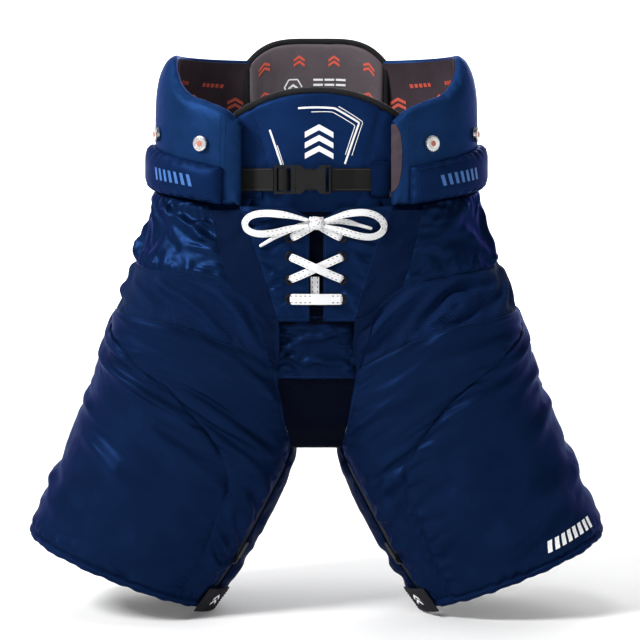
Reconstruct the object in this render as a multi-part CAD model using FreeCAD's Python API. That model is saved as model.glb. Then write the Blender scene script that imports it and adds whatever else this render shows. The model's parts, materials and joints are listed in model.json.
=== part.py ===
"""Padded ice hockey pants: outer panels, pads, plates, belt, buckle, lace, zips and buttons as separate solids.

Millimetres. +Z is up, the wearer faces -Y, and the wearer's right side is at -X. Heights in the tables
count from the foot of the legs; the origin is the middle of the waist at belt height, where a body holds
the pants, so the finished shapes move down by that height.
"""
import FreeCAD
import Part
import math
import os

V = FreeCAD.Vector
SIDES = {"left": -1, "right": 1}  # named as seen from the front

# ---------------------------------------------------------------- driving dimensions
FABRIC = 3.0            # outer fabric with its lining
SEAM_GAP = 0.8          # half of the clearance left between neighbouring panels
SHIFT_Y = 0.0
SHIFT_Z = -490.0        # from the foot of the legs to the middle of the waist

# Trunk, as level rings: height, half width, half depth, squareness
TRUNK = [
    (290, 236, 121, 3.4),
    (342, 223, 121, 3.2),
    (401, 204, 120, 2.7),
    (435, 192, 117, 2.5),
    (478, 184, 113, 2.4),
]
# Leg, as tilted rings: place along the leg, centre x, centre z, tilt, half width, half depth, squareness
LEG = [
    (-0.1, 235, 28, 22.0, 111, 97, 2.3),
    (0.0, 222, 50, 22.0, 113, 98, 2.3),
    (0.2, 195, 96, 21.5, 118, 101, 2.3),
    (0.4, 171, 146, 20.0, 121, 106, 2.4),
    (0.6, 148, 196, 17.0, 121, 111, 2.6),
    (0.8, 134, 240, 13.0, 117, 115, 3.0),
    (1.0, 127, 285, 8.0, 112, 119, 3.3),
    (1.25, 118, 347, 3.0, 105, 122, 3.6),
]
# Angle of the front panel's inner edge on each leg ring; 180 is the innermost line
FRONT_EDGE = [(0.0, 148), (0.5, 148), (0.6, 151), (0.7, 154), (0.8, 142), (0.9, 136), (1.0, 132), (1.25, 129)]
# Angle of the long curved seam down the front of the thigh
THIGH_SEAM = [(0.0, 129), (0.3, 123), (0.55, 117), (0.8, 86), (0.95, 60), (1.05, 44),
              (1.12, 22), (1.25, -16)]
BACK_SEAM = 140         # angle where the outer panel meets the inner panel
GUSSET_CLEAR_FRONT, GUSSET_CLEAR_BACK = 3.2, 11.0  # so the swinging legs pass the gusset
CROTCH_S = 0.66         # place along the leg where the inner wall ends below the crotch

WAIST_TOP = [(0, 481), (41, 468), (63, 459), (90, 458)]                    # by angle from the side
BAND_TOP = [(0, 401), (41, 390), (54, 384), (67, 371), (77, 342), (90, 337)]
FLY_EDGE = [(300, 41), (337, 42), (401, 62), (463, 84)]                    # by height: where fly meets yoke
YOKE_EDGE = [(337, 80), (371, 92), (401, 102), (463, 117)]
FLY_BOTTOM, FLY_TOP = 337.0, 461.0
FLY_HALF_GAP = 7.5

HIP_JOINT_Z = 335.0     # height of the line that the legs swing about

WING = [(455, 180, 119), (500, 179, 119), (583, 178, 117), (617, 171, 113), (640, 161, 106)]
WING_TOP = [(-63, 552), (-58, 565), (-49, 576), (-41, 583), (-32, 597), (-23, 614), (-13, 627), (0, 632), (61, 633)]
WING_FRONT, WING_BACK = -63.0, 58.5
WING_SQUARE = 2.4
WING_THICK = 12.0
COVER_TOP = [(-60, 502), (-41, 514), (0, 531), (41, 525), (60, 520)]
COVER_FRONT, COVER_BACK = -58.5, 57.5

TONGUE_BOTTOM, TONGUE_TOP = 440.0, 583.0
TONGUE_HALF = 86.0
TONGUE_Y = 100.0        # front face at the centre, ahead of the middle of the body
TONGUE_THICK = 12.0
SPINE_BOTTOM, SPINE_TOP = 462.0, 652.5
SPINE_HALF = 79.0
SPINE_Y = 100.0         # inner face at the centre
SPINE_THICK = 11.0
BINDING_R = 3.5
BINDING_GAP = 2.7
RIM_SPOTS = 29

BELT_Z = 490.0
WEBBING = 25.0
WEBBING_THICK = 1.8
BELT_Y = 103.6          # front face of the webbing at the centre
BUCKLE_X = -22.0        # mouth of the female half
BUCKLE_LONG = 38.0
BUCKLE_TALL = 31.0
BUCKLE_THICK = 10.0
BUCKLE_FRONT_Y = -115.6

EYELET_X = 28.0
EYELET_Z = (427.0, 407.0, 382.0, 361.0)
EYELET_HOLE_R = 3.4
EYELET_RIM_R = 5.2
LACE_TUBE = 3.4         # diameter of a round cord with the flat lace's section

BUTTON_R = 8.5
BUTTON_THICK = 3.0
BUTTON_NECK_R = 2.6
BUTTON_NECK = 5.0
BUTTONS = {"front": (-49.6, 529.0), "outer": (-20.4, 541.0), "rear": (49.0, 541.0)}  # angle and height

HEM_R = 5.0


# ---------------------------------------------------------------- helpers
def smooth(rows, x):
    """Values of a table at x, on a smooth curve through its rows; the first column is sorted."""
    last = len(rows) - 1
    if x <= rows[0][0]:
        i, f = 0, 0.0
    elif x >= rows[last][0]:
        i, f = last - 1, 1.0
    else:
        i = max(k for k in range(last) if rows[k][0] <= x)
        f = (x - rows[i][0]) / (rows[i + 1][0] - rows[i][0])
    span = rows[i + 1][0] - rows[i][0]

    def slope(k, c):
        a, b = max(k - 1, 0), min(k + 1, last)
        return (rows[b][c] - rows[a][c]) / (rows[b][0] - rows[a][0])

    out = []
    for c in range(1, len(rows[0])):
        p0, p1 = rows[i][c], rows[i + 1][c]
        m0, m1 = slope(i, c) * span, slope(i + 1, c) * span
        out.append(
            (2 * f**3 - 3 * f**2 + 1) * p0 + (f**3 - 2 * f**2 + f) * m0
            + (3 * f**2 - 2 * f**3) * p1 + (f**3 - f**2) * m1
        )
    return out if len(out) > 1 else out[0]


def mix(a, b, f):
    return a + (b - a) * f


def power_arc(degrees, square):
    """The point of a squared-off unit circle in a direction."""
    c, s = math.cos(math.radians(degrees)), math.sin(math.radians(degrees))
    reach = (abs(c) ** square + abs(s) ** square) ** (-1.0 / square)
    return c * reach, s * reach


def trunk_point(side, angle, z):
    """Angle -90 is the front centre, 0 the outer side and 90 the back centre."""
    a, b, n = smooth(TRUNK, z)
    c, s = power_arc(angle, n)
    return V(side * a * c, b * s, z)


def trunk_angle(x, z):
    """The front angle at which the trunk is x wide."""
    a, _, n = smooth(TRUNK, z)
    return -math.degrees(math.atan(((a / x) ** n - 1) ** (1 / n)))


def leg_point(side, angle, s):
    """Angle 0 is the outer line, -90 the front, 180 the innermost line and 90 the back."""
    cx, cz, tilt, w, d, n = smooth(LEG, s)
    c, k = power_arc(angle, n)
    t = math.radians(tilt)
    return V(side * (cx + w * c * math.cos(t)), d * k, cz + w * c * math.sin(t))


def band_bottom(angle):
    """Place along the leg where the stretch band ends, by angle."""
    return 1.22 - 0.18 * (min(abs(angle), 130.0) / 128.0) ** 2.7


def front_edge(s):
    return smooth(FRONT_EDGE, s)


def wing_point(side, angle, z, out=0.0):
    a, b = smooth(WING, z)
    c, s = power_arc(angle, WING_SQUARE)
    return V(side * (a + out) * c, (b + out) * s, z)


def steepness(point, u, v):
    """The direction across a surface, from its slopes."""
    e = 1e-3
    u0, u1 = max(u - e, 0), min(u + e, 1)
    v0, v1 = max(v - e, 0), min(v + e, 1)
    return (point(u1, v) - point(u0, v)).cross(point(u, v1) - point(u, v0))


def normals(point, nu, nv, outward, across=None):
    """The grid of a surface's points and its unit normals, which lean the way that outward does."""
    across = across or (lambda u, v: steepness(point, u, v))
    grid, norms = [], []
    for i in range(nu):
        row, nrow = [], []
        for j in range(nv):
            u, v = i / (nu - 1), j / (nv - 1)
            p, n = point(u, v), across(u, v)
            n.normalize()
            row.append(p)
            nrow.append(n if n.dot(outward(p)) > 0 else n * -1)
        grid.append(row)
        norms.append(nrow)
    return grid, norms


def surface(grid):
    s = Part.BSplineSurface()
    s.interpolate(grid)
    return s


def sheet(point, near, far, outward, nu=9, nv=9, across=None):
    """A closed solid between two offsets of a surface. point(u, v) gives the surface for u and v in 0..1,
    and near and far are depths below it."""
    grid, norms = normals(point, nu, nv, outward, across)
    skins = [
        surface([[p - n * depth for p, n in zip(row, nrow)] for row, nrow in zip(grid, norms)])
        for depth in (near, far)
    ]
    faces = [s.toShape() for s in skins]
    for iso in ("uIso", "vIso"):
        for end in (0, 1):
            edges = []
            for s in skins:
                u0, u1, v0, v1 = s.bounds()
                at = ((u0, u1) if iso == "uIso" else (v0, v1))[end]
                edges.append(getattr(s, iso)(at).toShape())
            faces.append(Part.makeRuledSurface(edges[0], edges[1], 1))
    body = Part.Compound(faces)
    body.sewShape(0.02)
    solid = Part.Solid(Part.Shell(body.Faces))
    if solid.Volume < 0:
        solid.reverse()
    return solid


def from_axis(p):
    return V(p.x, p.y, 0)


def tube(centres, radius):
    """A round bead along a smooth line through its centres."""
    line = Part.BSplineCurve()
    line.interpolate(centres)
    section = Part.Wire([Part.Circle(centres[0], line.tangent(line.FirstParameter)[0], radius).toShape()])
    return Part.Wire([line.toShape()]).makePipeShell([section], True, False)


def cord_path(points):
    """Straight runs joined by tangent arcs, each as large as its two runs allow."""
    edges, radii, start = [], [], points[0]
    for a, b, c in zip(points, points[1:], points[2:]):
        back, ahead = a - b, c - b
        turn = math.pi - back.getAngle(ahead)
        cut = 0.45 * min(back.Length, ahead.Length)
        radii.append(cut / math.tan(turn / 2))
        back.normalize()
        ahead.normalize()
        first, last = b + back * cut, b + ahead * cut
        bisector = back + ahead
        bisector.normalize()
        reach = radii[-1] / math.cos(turn / 2)
        centre = b + bisector * reach
        middle = centre - bisector * radii[-1]
        edges.append(Part.LineSegment(start, first).toShape())
        edges.append(Part.Arc(first, middle, last).toShape())
        start = last
    edges.append(Part.LineSegment(start, points[-1]).toShape())
    return Part.Wire(edges), radii


def cord(name, points, diameter=LACE_TUBE):
    """A plain round tube along a route."""
    path, radii = cord_path(points)
    direction = points[1] - points[0]
    section = Part.Wire([Part.Circle(points[0], direction, diameter / 2).toShape()])
    solid = path.makePipeShell([section], True, True)
    want = math.pi * diameter**2 / 4 * path.Length
    print(f"{name}: length {path.Length:.1f}, volume share {solid.Volume / want:.3f}, radii",
          [round(r, 1) for r in radii])
    return solid


# ---------------------------------------------------------------- trunk panels
def trunk_sheet(side, left_of, right_of, low, high, near=0.0, far=FABRIC, nu=9, nv=7):
    """A trunk panel between two edges, each an angle by height, and two heights, each by angle."""
    def point(u, v):
        middle = mix(left_of(400), right_of(400), u)
        z = mix(low(middle), high(middle), v)
        return trunk_point(side, mix(left_of(z), right_of(z), u), z)

    return sheet(point, near, far, from_axis, nu, nv)


def waist_top(angle):
    return smooth(WAIST_TOP, min(abs(angle), 180 - abs(angle)))


def band_top(angle):
    return smooth(BAND_TOP, min(abs(angle), 180 - abs(angle)))


def gap_angle(z, gap=SEAM_GAP):
    """The angle that a seam gap takes at the front of the trunk."""
    return math.degrees(gap / smooth(TRUNK, z)[0])


def fly_panel(side):
    def inner(z):
        return trunk_angle(FLY_HALF_GAP, z)

    def outer(z):
        return trunk_angle(smooth(FLY_EDGE, z) - SEAM_GAP, z)

    panel = trunk_sheet(side, inner, outer, lambda a: FLY_BOTTOM + SEAM_GAP, lambda a: FLY_TOP)
    for z in EYELET_Z:
        panel = panel.cut(Part.makeCylinder(EYELET_HOLE_R + 0.6, 60, V(side * EYELET_X, -140, z), V(0, 1, 0)))
    return panel


def fly_gusset():
    """The dark layer behind the lace, across the gap between the fly panels."""
    half = 34.0

    def point(u, v):
        x = mix(-half, half, u)
        z = mix(FLY_BOTTOM + 2, FLY_TOP - 6, v)
        p = trunk_point(1, trunk_angle(abs(x) + 0.01, z), z)
        return V(x, p.y, z)

    return sheet(point, FABRIC + 3.2, FABRIC + 5.0, from_axis)


def yoke_knit(side):
    def inner(z):
        return trunk_angle(smooth(FLY_EDGE, z) + SEAM_GAP, z)

    def outer(z):
        return trunk_angle(smooth(YOKE_EDGE, z) - SEAM_GAP, z)

    return trunk_sheet(side, inner, outer, lambda a: band_top(a) + 2 * SEAM_GAP, lambda a: FLY_TOP - 4)


def hip_panel(side):
    def front(z):
        return trunk_angle(smooth(YOKE_EDGE, z) + SEAM_GAP, z)

    return trunk_sheet(side, front, lambda z: 50 - gap_angle(z), lambda a: band_top(a) + SEAM_GAP, waist_top,
                       nu=15)


def seat_panel():
    def point(u, v):
        angle = mix(50 + 0.5, 130 - 0.5, u)
        z = mix(band_top(angle) + SEAM_GAP, waist_top(angle), v)
        a, b, n = smooth(TRUNK, z)
        c, s = power_arc(angle, n)
        return V(a * c, b * s, z)

    return sheet(point, 0, FABRIC, from_axis, 17, 7)


def stretch_band(side):
    """The knit band that joins the trunk to a leg, from the groin round the outer side to the back."""
    def point(u, v):
        upper_angle = mix(-78, 78, u)
        lower_angle = mix(-130, 130, u)
        upper = trunk_point(side, upper_angle, band_top(upper_angle) - SEAM_GAP)
        lower = leg_point(side, lower_angle, band_bottom(lower_angle) + 0.012)
        return upper + (lower - upper) * v

    return sheet(point, 0, FABRIC, lambda p: V(p.x - side * 110, p.y, 0), 25, 5)


def crotch_row(s, back=1):
    """One end of a row across the crotch: the point beside the leg's inner edge."""
    clear = GUSSET_CLEAR_FRONT if back > 0 else GUSSET_CLEAR_BACK
    p = leg_point(1, -front_edge(s), s)
    return V(p.x - clear, p.y * back, p.z)


def crotch_panel():
    """The gathered panel between the fly and the gusset."""
    def point(u, v):
        end = crotch_row(mix(1.0, 1.225, v))
        x = mix(-end.x, end.x, u)
        bulge = mix(3.0, 5.5, v) * (1 - (x / end.x) ** 2)
        return V(x, end.y - bulge, end.z)

    return sheet(point, 0, FABRIC, from_axis, 9, 5)


def crotch_gusset():
    """The knit strip that runs from the front, between the legs and up the back."""
    rows = [crotch_row(s) for s in (0.985, 0.92, 0.86, 0.80, 0.75, 0.71)]
    under = rows[-1]
    rows += [V(under.x - 1.5, y, under.z - 4) for y in (-25, 0, 25)]
    rows += [crotch_row(s, -1) for s in (0.71, 0.75, 0.80, 0.86, 0.92, 1.0, 1.1, 1.2)]

    def point(u, v):
        at = v * (len(rows) - 1)
        i = min(int(at), len(rows) - 2)
        end = rows[i] + (rows[i + 1] - rows[i]) * (at - i)
        return V(mix(-end.x, end.x, u), end.y, end.z)

    return sheet(point, 0, FABRIC, lambda p: V(0, p.y, -60), 5, len(rows))


def tailbone(near, far, half, low, high):
    def point(u, v):
        x, z = mix(-half, half, u), mix(low, high, v)
        p = trunk_point(1, trunk_angle(abs(x) + 0.01, z), z)
        return V(x, -p.y, z)

    return sheet(point, near, far, from_axis)


# ---------------------------------------------------------------- leg panels
def leg_sheet(side, first, last, low, high, near=0.0, far=FABRIC, nu=11, nv=11):
    """A leg panel between two angles, each by place along the leg, and two places, each by angle."""
    def place(u, v):
        s = v
        for _ in range(12):
            angle = mix(first(s), last(s), u)
            s = mix(s, mix(low(angle), high(angle), v), 0.7)
        return angle, s

    def point(u, v):
        return leg_point(side, *place(u, v))

    def across(u, v):
        angle, s = place(u, v)
        round_way = leg_point(side, angle + 0.2, s) - leg_point(side, angle - 0.2, s)
        return round_way.cross(leg_point(side, angle, s + 0.005) - leg_point(side, angle, s - 0.005))

    def outward(p):
        return V(p.x - side * mix(222, 110, min(1.0, p.z / 330)), p.y, 0)

    return sheet(point, near, far, outward, nu, nv, across)


def hem_place(angle):
    return 0.02


def leg_front_panel(side):
    return leg_sheet(side, lambda s: -front_edge(s), lambda s: -smooth(THIGH_SEAM, s) - 0.8, hem_place, band_bottom,
                     nu=21, nv=25)


def leg_outer_panel(side):
    def last(s):
        return min(BACK_SEAM - 0.4, front_edge(s))

    return leg_sheet(side, lambda s: -smooth(THIGH_SEAM, s) + 0.8, last, hem_place, band_bottom, nu=29, nv=15)


def leg_inner_panel(side):
    """The inner wall of the leg, from the back seam to the zip."""
    return leg_sheet(side, lambda s: BACK_SEAM + 0.4, lambda s: 360 - front_edge(s) - 7,
                     hem_place, lambda a: CROTCH_S, nu=13, nv=9)


def zip_tape(side):
    return leg_sheet(side, lambda s: 360 - front_edge(s) - 6.2, lambda s: 360 - front_edge(s) - 0.7,
                     lambda a: 0.03, lambda a: CROTCH_S - 0.03, near=1.6, far=3.0, nu=4, nv=15)


def hem(side):
    """The rolled binding round the leg's lower edge, open at the zip."""
    centres = []
    count = 45
    for i in range(count):
        angle = mix(-149.5, 203.0, i / (count - 1))
        p, q = leg_point(side, angle, 0.0), leg_point(side, angle + 0.5, 0.0)
        inward = (q - p).cross(V(math.sin(math.radians(22)) * side, 0, -math.cos(math.radians(22))))
        inward.normalize()
        if inward.dot(leg_point(side, angle + 180, 0.0) - p) < 0:
            inward = inward * -1
        centres.append(p + inward * FABRIC / 2)
    return tube(centres, HEM_R)


def thigh_layer(side, near, far, margin):
    """A stiff or soft layer inside the front and outer panels of the thigh."""
    return leg_sheet(side, lambda s: -112 + margin, lambda s: 38 - margin, lambda a: 0.12 + margin / 400,
                     lambda a: band_bottom(a) - 0.06 - margin / 400, near, far, nu=15, nv=11)


def slit_line(side, angle=-151.5):
    """Two points on the line that the zip runs along."""
    return leg_point(side, angle, 0.05), leg_point(side, angle, 0.52)


def tab(side):
    """The hook-and-loop tab that holds the zip's lower end shut."""
    def point(u, v):
        return leg_point(side, mix(-141, -167, u), mix(-0.035, 0.085, v))

    def outward(p):
        return V(p.x - side * 222, p.y, 0)

    return sheet(point, -6.6, -4.2, outward, 7, 5)


def zip_slider(side):
    """The zip's slider and pull, lying on the tape."""
    low, high = slit_line(side)
    along = high - low
    along.normalize()
    at = low + along * 48
    out = V(-side * 0.86, -0.5, -0.1)
    out = out - along * out.dot(along)
    out.normalize()
    across = along.cross(out)
    frame = FreeCAD.Matrix(
        across.x, along.x, out.x, at.x, across.y, along.y, out.y, at.y, across.z, along.z, out.z, at.z, 0, 0, 0, 1)
    body = Part.makeBox(7, 11, 3, V(-3.5, -5.5, 2.2))
    body = body.fuse(Part.makeBox(3, 7, 2, V(-1.5, -3.5, 5.2)))
    pull = Part.makeBox(6, 20, 1.4, V(-3, 3.9, 5.9))
    pull = pull.makeFillet(0.5, pull.Edges)
    slider = body.fuse(pull)
    slider.Placement = FreeCAD.Placement(frame)
    return Part.Compound([slider])


def say(name, point, axis):
    """Prints a line in the shifted frame, for the record."""
    place = [round(c, 4) for c in (point.x, point.y + SHIFT_Y, point.z + SHIFT_Z)]
    print(f"{name}: pos {place} axis {[round(c, 6) for c in axis]}")


def say_leg_lines(name, side):
    """The line each leg's tab turns about, and the way its zip slider runs."""
    low, high = (leg_point(side, -140.0, s) for s in (-0.035, 0.085))
    axis = high - low
    axis.normalize()
    reach = leg_point(side, -167, 0.02) - leg_point(side, -141, 0.02)
    out = leg_point(side, -141, 0.02) - leg_point(side, 39, 0.02)
    out.normalize()
    if axis.cross(reach).dot(out) < 0:
        axis = axis * -1
    say("tab hinge " + name, (low + high) * 0.5 + out * 6.0, axis)
    low, high = slit_line(side)
    along = high - low
    along.normalize()
    say("zip slide " + name, low, along)


# ---------------------------------------------------------------- pads round the waist
def wing_top(angle):
    return smooth(WING_TOP, angle)


def wing_bottom(angle):
    return waist_top(angle) + 3.0


def wing_sheet(side, first, last, low, high, near, far, nu=21, nv=9):
    def point(u, v):
        angle = mix(first, last, u)
        return wing_point(side, angle, mix(low(angle), high(angle), v))

    return sheet(point, near, far, from_axis, nu, nv)


def hip_pad(side):
    return wing_sheet(side, WING_FRONT, WING_BACK, wing_bottom, wing_top, 3.1, WING_THICK)


def hip_plate(side):
    return wing_sheet(side, -52, 52, lambda a: wing_bottom(a) + 8, lambda a: wing_top(a) - 16, 0.4, 2.4)


def belt_cover(side):
    """The padded band that wraps the lower part of the hip pad."""
    return wing_sheet(side, COVER_FRONT, COVER_BACK, wing_bottom, lambda a: smooth(COVER_TOP, a), -12.0, -1.2)


def button_frame(side, place):
    angle, z = BUTTONS[place]
    p = wing_point(side, angle, z)
    ahead = wing_point(side, angle + 0.5, z) - wing_point(side, angle - 0.5, z)
    up = wing_point(side, angle, z + 1) - wing_point(side, angle, z - 1)
    out = ahead.cross(up)
    out.normalize()
    if out.dot(from_axis(p)) < 0:
        out = out * -1
    return p, out


def buttons(side):
    """Tack buttons for braces: each a cap on a neck."""
    solids = []
    for place in BUTTONS:
        p, out = button_frame(side, place)
        foot = p + out * 0.2
        neck = Part.makeCylinder(BUTTON_NECK_R, BUTTON_NECK, foot, out)
        cap = Part.makeCylinder(BUTTON_R, BUTTON_THICK, foot + out * BUTTON_NECK, out)
        dome = Part.makeCone(BUTTON_R - 0.6, BUTTON_R - 3.5, 0.9, foot + out * (BUTTON_NECK + BUTTON_THICK), out)
        solids.append(neck.fuse([cap, dome]).removeSplitter())
        say(f"button {side} {place}", foot + out * (BUTTON_NECK + BUTTON_THICK / 2), out)
    return Part.Compound(solids)


def pad_outline(half, bottom, top, drop, power, foot):
    """Maps u in -1..1 and v in 0..1 to x and z on a pad with a domed top and a narrower foot."""
    def place(u, v):
        x = u * half * mix(foot, 1.0, min(1.0, v * 2.2) ** 0.8)
        z = mix(bottom, top - drop * abs(x / half) ** power, v)
        return x, z

    return place


TONGUE_SHAPE = pad_outline(TONGUE_HALF, TONGUE_BOTTOM, TONGUE_TOP, 26.0, 2.2, 0.72)
SPINE_SHAPE = pad_outline(SPINE_HALF, SPINE_BOTTOM, SPINE_TOP, 28.0, 4.0, 0.7)


def tongue_point(u, v):
    x, z = TONGUE_SHAPE(u, v)
    return V(x, -TONGUE_Y * math.sqrt(1 - (x / 160.0) ** 2), z)


def spine_point(u, v):
    x, z = SPINE_SHAPE(u, v)
    return V(x, SPINE_Y - 12.0 * (x / SPINE_HALF) ** 2, z)


def pad(point, near, far, outward):
    return sheet(lambda u, v: point(2 * u - 1, v), near, far, outward, 13, 11, lambda u, v: V(0, 1, 0))


def pad_binding(point, depth, drop_to):
    """The piped edge of a pad: up one side, over the top and down the other."""
    rise = [mix(drop_to, 1.0, k / 12) for k in range(12)]
    rim = [(-1, v) for v in rise] + [(k / 20 - 1, 1) for k in range(1, 40)] + [(1, v) for v in reversed(rise)]
    edge = Part.BSplineCurve()
    edge.interpolate([point(u, v) for u, v in rim])
    spots = edge.discretize(Number=RIM_SPOTS)
    centres = []
    for i, p in enumerate(spots):
        along = spots[min(i + 1, RIM_SPOTS - 1)] - spots[max(i - 1, 0)]
        out = along.cross(V(0, 1, 0))
        out.normalize()
        if out.dot(p - point(0, 0.6)) < 0:
            out = out * -1
        centres.append(p + V(0, depth, 0) + out * (BINDING_R + BINDING_GAP))
    section = Part.Wire([Part.Circle(centres[0], centres[1] - centres[0], BINDING_R).toShape()])
    return cord_path(centres)[0].makePipeShell([section], True, True)


# ---------------------------------------------------------------- belt and buckle
def belt_point(x, z, depth=0.0):
    """The webbing's front face; near the buckle it climbs to the buckle's middle."""
    climb = min(1.0, max(0.0, (58 - abs(x + 14)) / 28))
    rise = (BUCKLE_THICK / 2 + 1.0) * climb * climb * (3 - 2 * climb)
    return V(x, -(BELT_Y - depth) * math.sqrt(1 - (x / 163.0) ** 2) - rise, z)


def strap(first, last):
    def point(u, v):
        return belt_point(mix(first, last, u), mix(BELT_Z - WEBBING / 2, BELT_Z + WEBBING / 2, v))

    return sheet(point, 0, WEBBING_THICK, from_axis, 13, 3)


def belt_loops():
    """Stitched loops: the right one passes over the webbing, and the left one lies flat behind it."""
    def over(u, v):
        x, z = mix(60, 80, u), mix(BELT_Z - 20, BELT_Z + 20, v)
        lift = 3.2 * (1 - abs(2 * v - 1) ** 6)
        p = belt_point(x, z)
        return V(p.x, p.y - lift, z)

    def under(u, v):
        return belt_point(mix(-80, -60, u), mix(BELT_Z - 20, BELT_Z + 14, v), 2.35)

    return Part.Compound([sheet(over, 0, 1.2, from_axis, 3, 15), sheet(under, 0, 0.9, from_axis, 3, 5)])


def slab(points, y, thick):
    """A flat plate in the XZ plane from its corner points, with its front at y."""
    wire = Part.makePolygon([V(x, y, z) for x, z in points + points[:1]])
    return Part.Face(wire).extrude(V(0, thick, 0))


def hourglass(mouth, end, half, waist):
    """The outline of a plate with hollowed sides, as a face in the XZ plane at y = 0."""
    middle = mix(mouth, end, 0.5)
    reach = (end - mouth) * 0.32
    edges = []
    for sign in (1, -1):
        corner_a = V(mouth if sign > 0 else end, 0, BELT_Z + sign * half)
        start = V(middle - sign * reach, 0, BELT_Z + sign * half)
        low = V(middle, 0, BELT_Z + sign * waist)
        stop = V(middle + sign * reach, 0, BELT_Z + sign * half)
        corner_b = V(end if sign > 0 else mouth, 0, BELT_Z + sign * half)
        edges += [Part.LineSegment(corner_a, start).toShape(), Part.Arc(start, low, stop).toShape(),
                  Part.LineSegment(stop, corner_b).toShape()]
        other = V(corner_b.x, 0, BELT_Z - sign * half)
        edges.append(Part.LineSegment(corner_b, other).toShape())
    return Part.Face(Part.Wire(edges))


def buckle_female():
    """Two hollow-sided plates with a strap bar at one end and an open mouth at the other."""
    plate = 2.2
    end = BUCKLE_X + BUCKLE_LONG
    face = hourglass(BUCKLE_X, end - 6, BUCKLE_TALL / 2, 9.5)
    solids = []
    for y in (BUCKLE_FRONT_Y, BUCKLE_FRONT_Y + BUCKLE_THICK - plate):
        piece = face.copy()
        piece.translate(V(0, y, 0))
        solids.append(piece.extrude(V(0, plate, 0)))
    tall = BUCKLE_TALL / 2
    block = Part.makeBox(5, BUCKLE_THICK, 2 * tall, V(end - 11, BUCKLE_FRONT_Y, BELT_Z - tall))
    bar = Part.makeCylinder(1.7, 2 * tall, V(end - 1.7, BUCKLE_FRONT_Y + BUCKLE_THICK / 2, BELT_Z - tall), V(0, 0, 1))
    solids += [block, bar]
    for sign in (1, -1):
        z = BELT_Z + sign * (tall - 1.25) - 1.25
        solids.append(Part.makeBox(7.2, 5, 2.5, V(end - 8.6, BUCKLE_FRONT_Y + 2.5, z)))
    return solids[0].fuse(solids[1:]).removeSplitter()


def buckle_male():
    """The strap frame, the shoulder and the centre guide of the half that pulls out."""
    tall = BUCKLE_TALL / 2
    y, deep = BUCKLE_FRONT_Y + 1.2, BUCKLE_THICK - 2.4
    shoulder = Part.makeBox(4.5, deep, 2 * tall, V(BUCKLE_X - 4.8, y, BELT_Z - tall))
    frame = Part.makeBox(19, 4.4, 2 * tall, V(BUCKLE_X - 23.5, y + 1.5, BELT_Z - tall))
    slots = [
        Part.makeBox(5.0, 9, 2 * tall - 5, V(BUCKLE_X - 21.0, y - 1, BELT_Z - tall + 2.5)),
        Part.makeBox(5.0, 9, 2 * tall - 5, V(BUCKLE_X - 10.5, y - 1, BELT_Z - tall + 2.5)),
    ]
    frame = frame.cut(slots[0]).cut(slots[1])
    guide = Part.makeBox(18.5, 3.0, 3.6, V(BUCKLE_X - 0.5, BUCKLE_FRONT_Y + 3.5, BELT_Z - 1.8))
    wrap = Part.makeBox(6.4, 1.3, WEBBING - 1, V(BUCKLE_X - 16.6, y + 0.1, BELT_Z - WEBBING / 2 + 0.5))
    return shoulder.fuse([frame, guide, wrap]).removeSplitter()


PRONG_ROOT_X = BUCKLE_X + 1.6


def buckle_prong(sign):
    """A sprung arm with the pad that a finger presses."""
    y, deep = BUCKLE_FRONT_Y + 2.7, BUCKLE_THICK - 5.4
    shape = [(0.0, 6.6), (0.0, 9.4), (9.5, 10.6), (11.5, 12.4), (17.0, 11.4), (19.5, 7.6), (17.8, 6.2), (8.5, 7.0)]
    corners = [(PRONG_ROOT_X + a, BELT_Z + sign * b) for a, b in shape]
    arm = slab(corners, y, deep)
    root = Part.makeCylinder(1.4, deep, V(PRONG_ROOT_X, y, BELT_Z + sign * 8), V(0, 1, 0))
    return arm.fuse(root).removeSplitter()


# ---------------------------------------------------------------- lace
def front_y(z):
    """The front of the fly panel at the eyelets."""
    return trunk_point(1, trunk_angle(EYELET_X, z), z).y


def eyelets():
    rings = []
    for side in (1, -1):
        for z in EYELET_Z:
            y = front_y(z)
            barrel = Part.makeCylinder(EYELET_HOLE_R + 0.5, FABRIC + 2.0, V(side * EYELET_X, y - 0.7, z), V(0, 1, 0))
            rim = Part.makeCylinder(EYELET_RIM_R, 0.8, V(side * EYELET_X, y - 1.4, z), V(0, 1, 0))
            hole = Part.makeCylinder(EYELET_HOLE_R - 0.6, 20, V(side * EYELET_X, y - 8, z), V(0, 1, 0))
            rings.append(barrel.fuse(rim).cut(hole).removeSplitter())
    return Part.Compound(rings)


def lacing():
    """The stretches of lace between the eyelets: a bar, a cross, and the ends up to the knot."""
    top, second, third, low = EYELET_Z
    proud = 3.3

    def strand(name, x0, z0, x1, z1, lift):
        y0, y1 = front_y(z0) - proud, front_y(z1) - proud
        middle = V((x0 + x1) / 2, (y0 + y1) / 2 - lift, (z0 + z1) / 2)
        return cord(name, [V(x0, y0, z0), middle, V(x1, y1, z1)])

    x = EYELET_X
    return Part.Compound([
        strand("bar", -x, low, x, low, 2.2),
        strand("cross over", -x, second, x, third, 7.4),
        strand("cross under", -x, third, x, second, 2.2),
        strand("end left", -x, top, -9, 437.4, 0.8),
        strand("end right", x, top, 9, 437.4, 0.8),
    ])


KNOT = V(0, -123.0, 443.0)      # centre


def knot():
    body = Part.makeBox(17, 9.4, 14, KNOT - V(8.5, 4.7, 7))
    return body.makeFillet(1.6, body.Edges)


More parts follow.
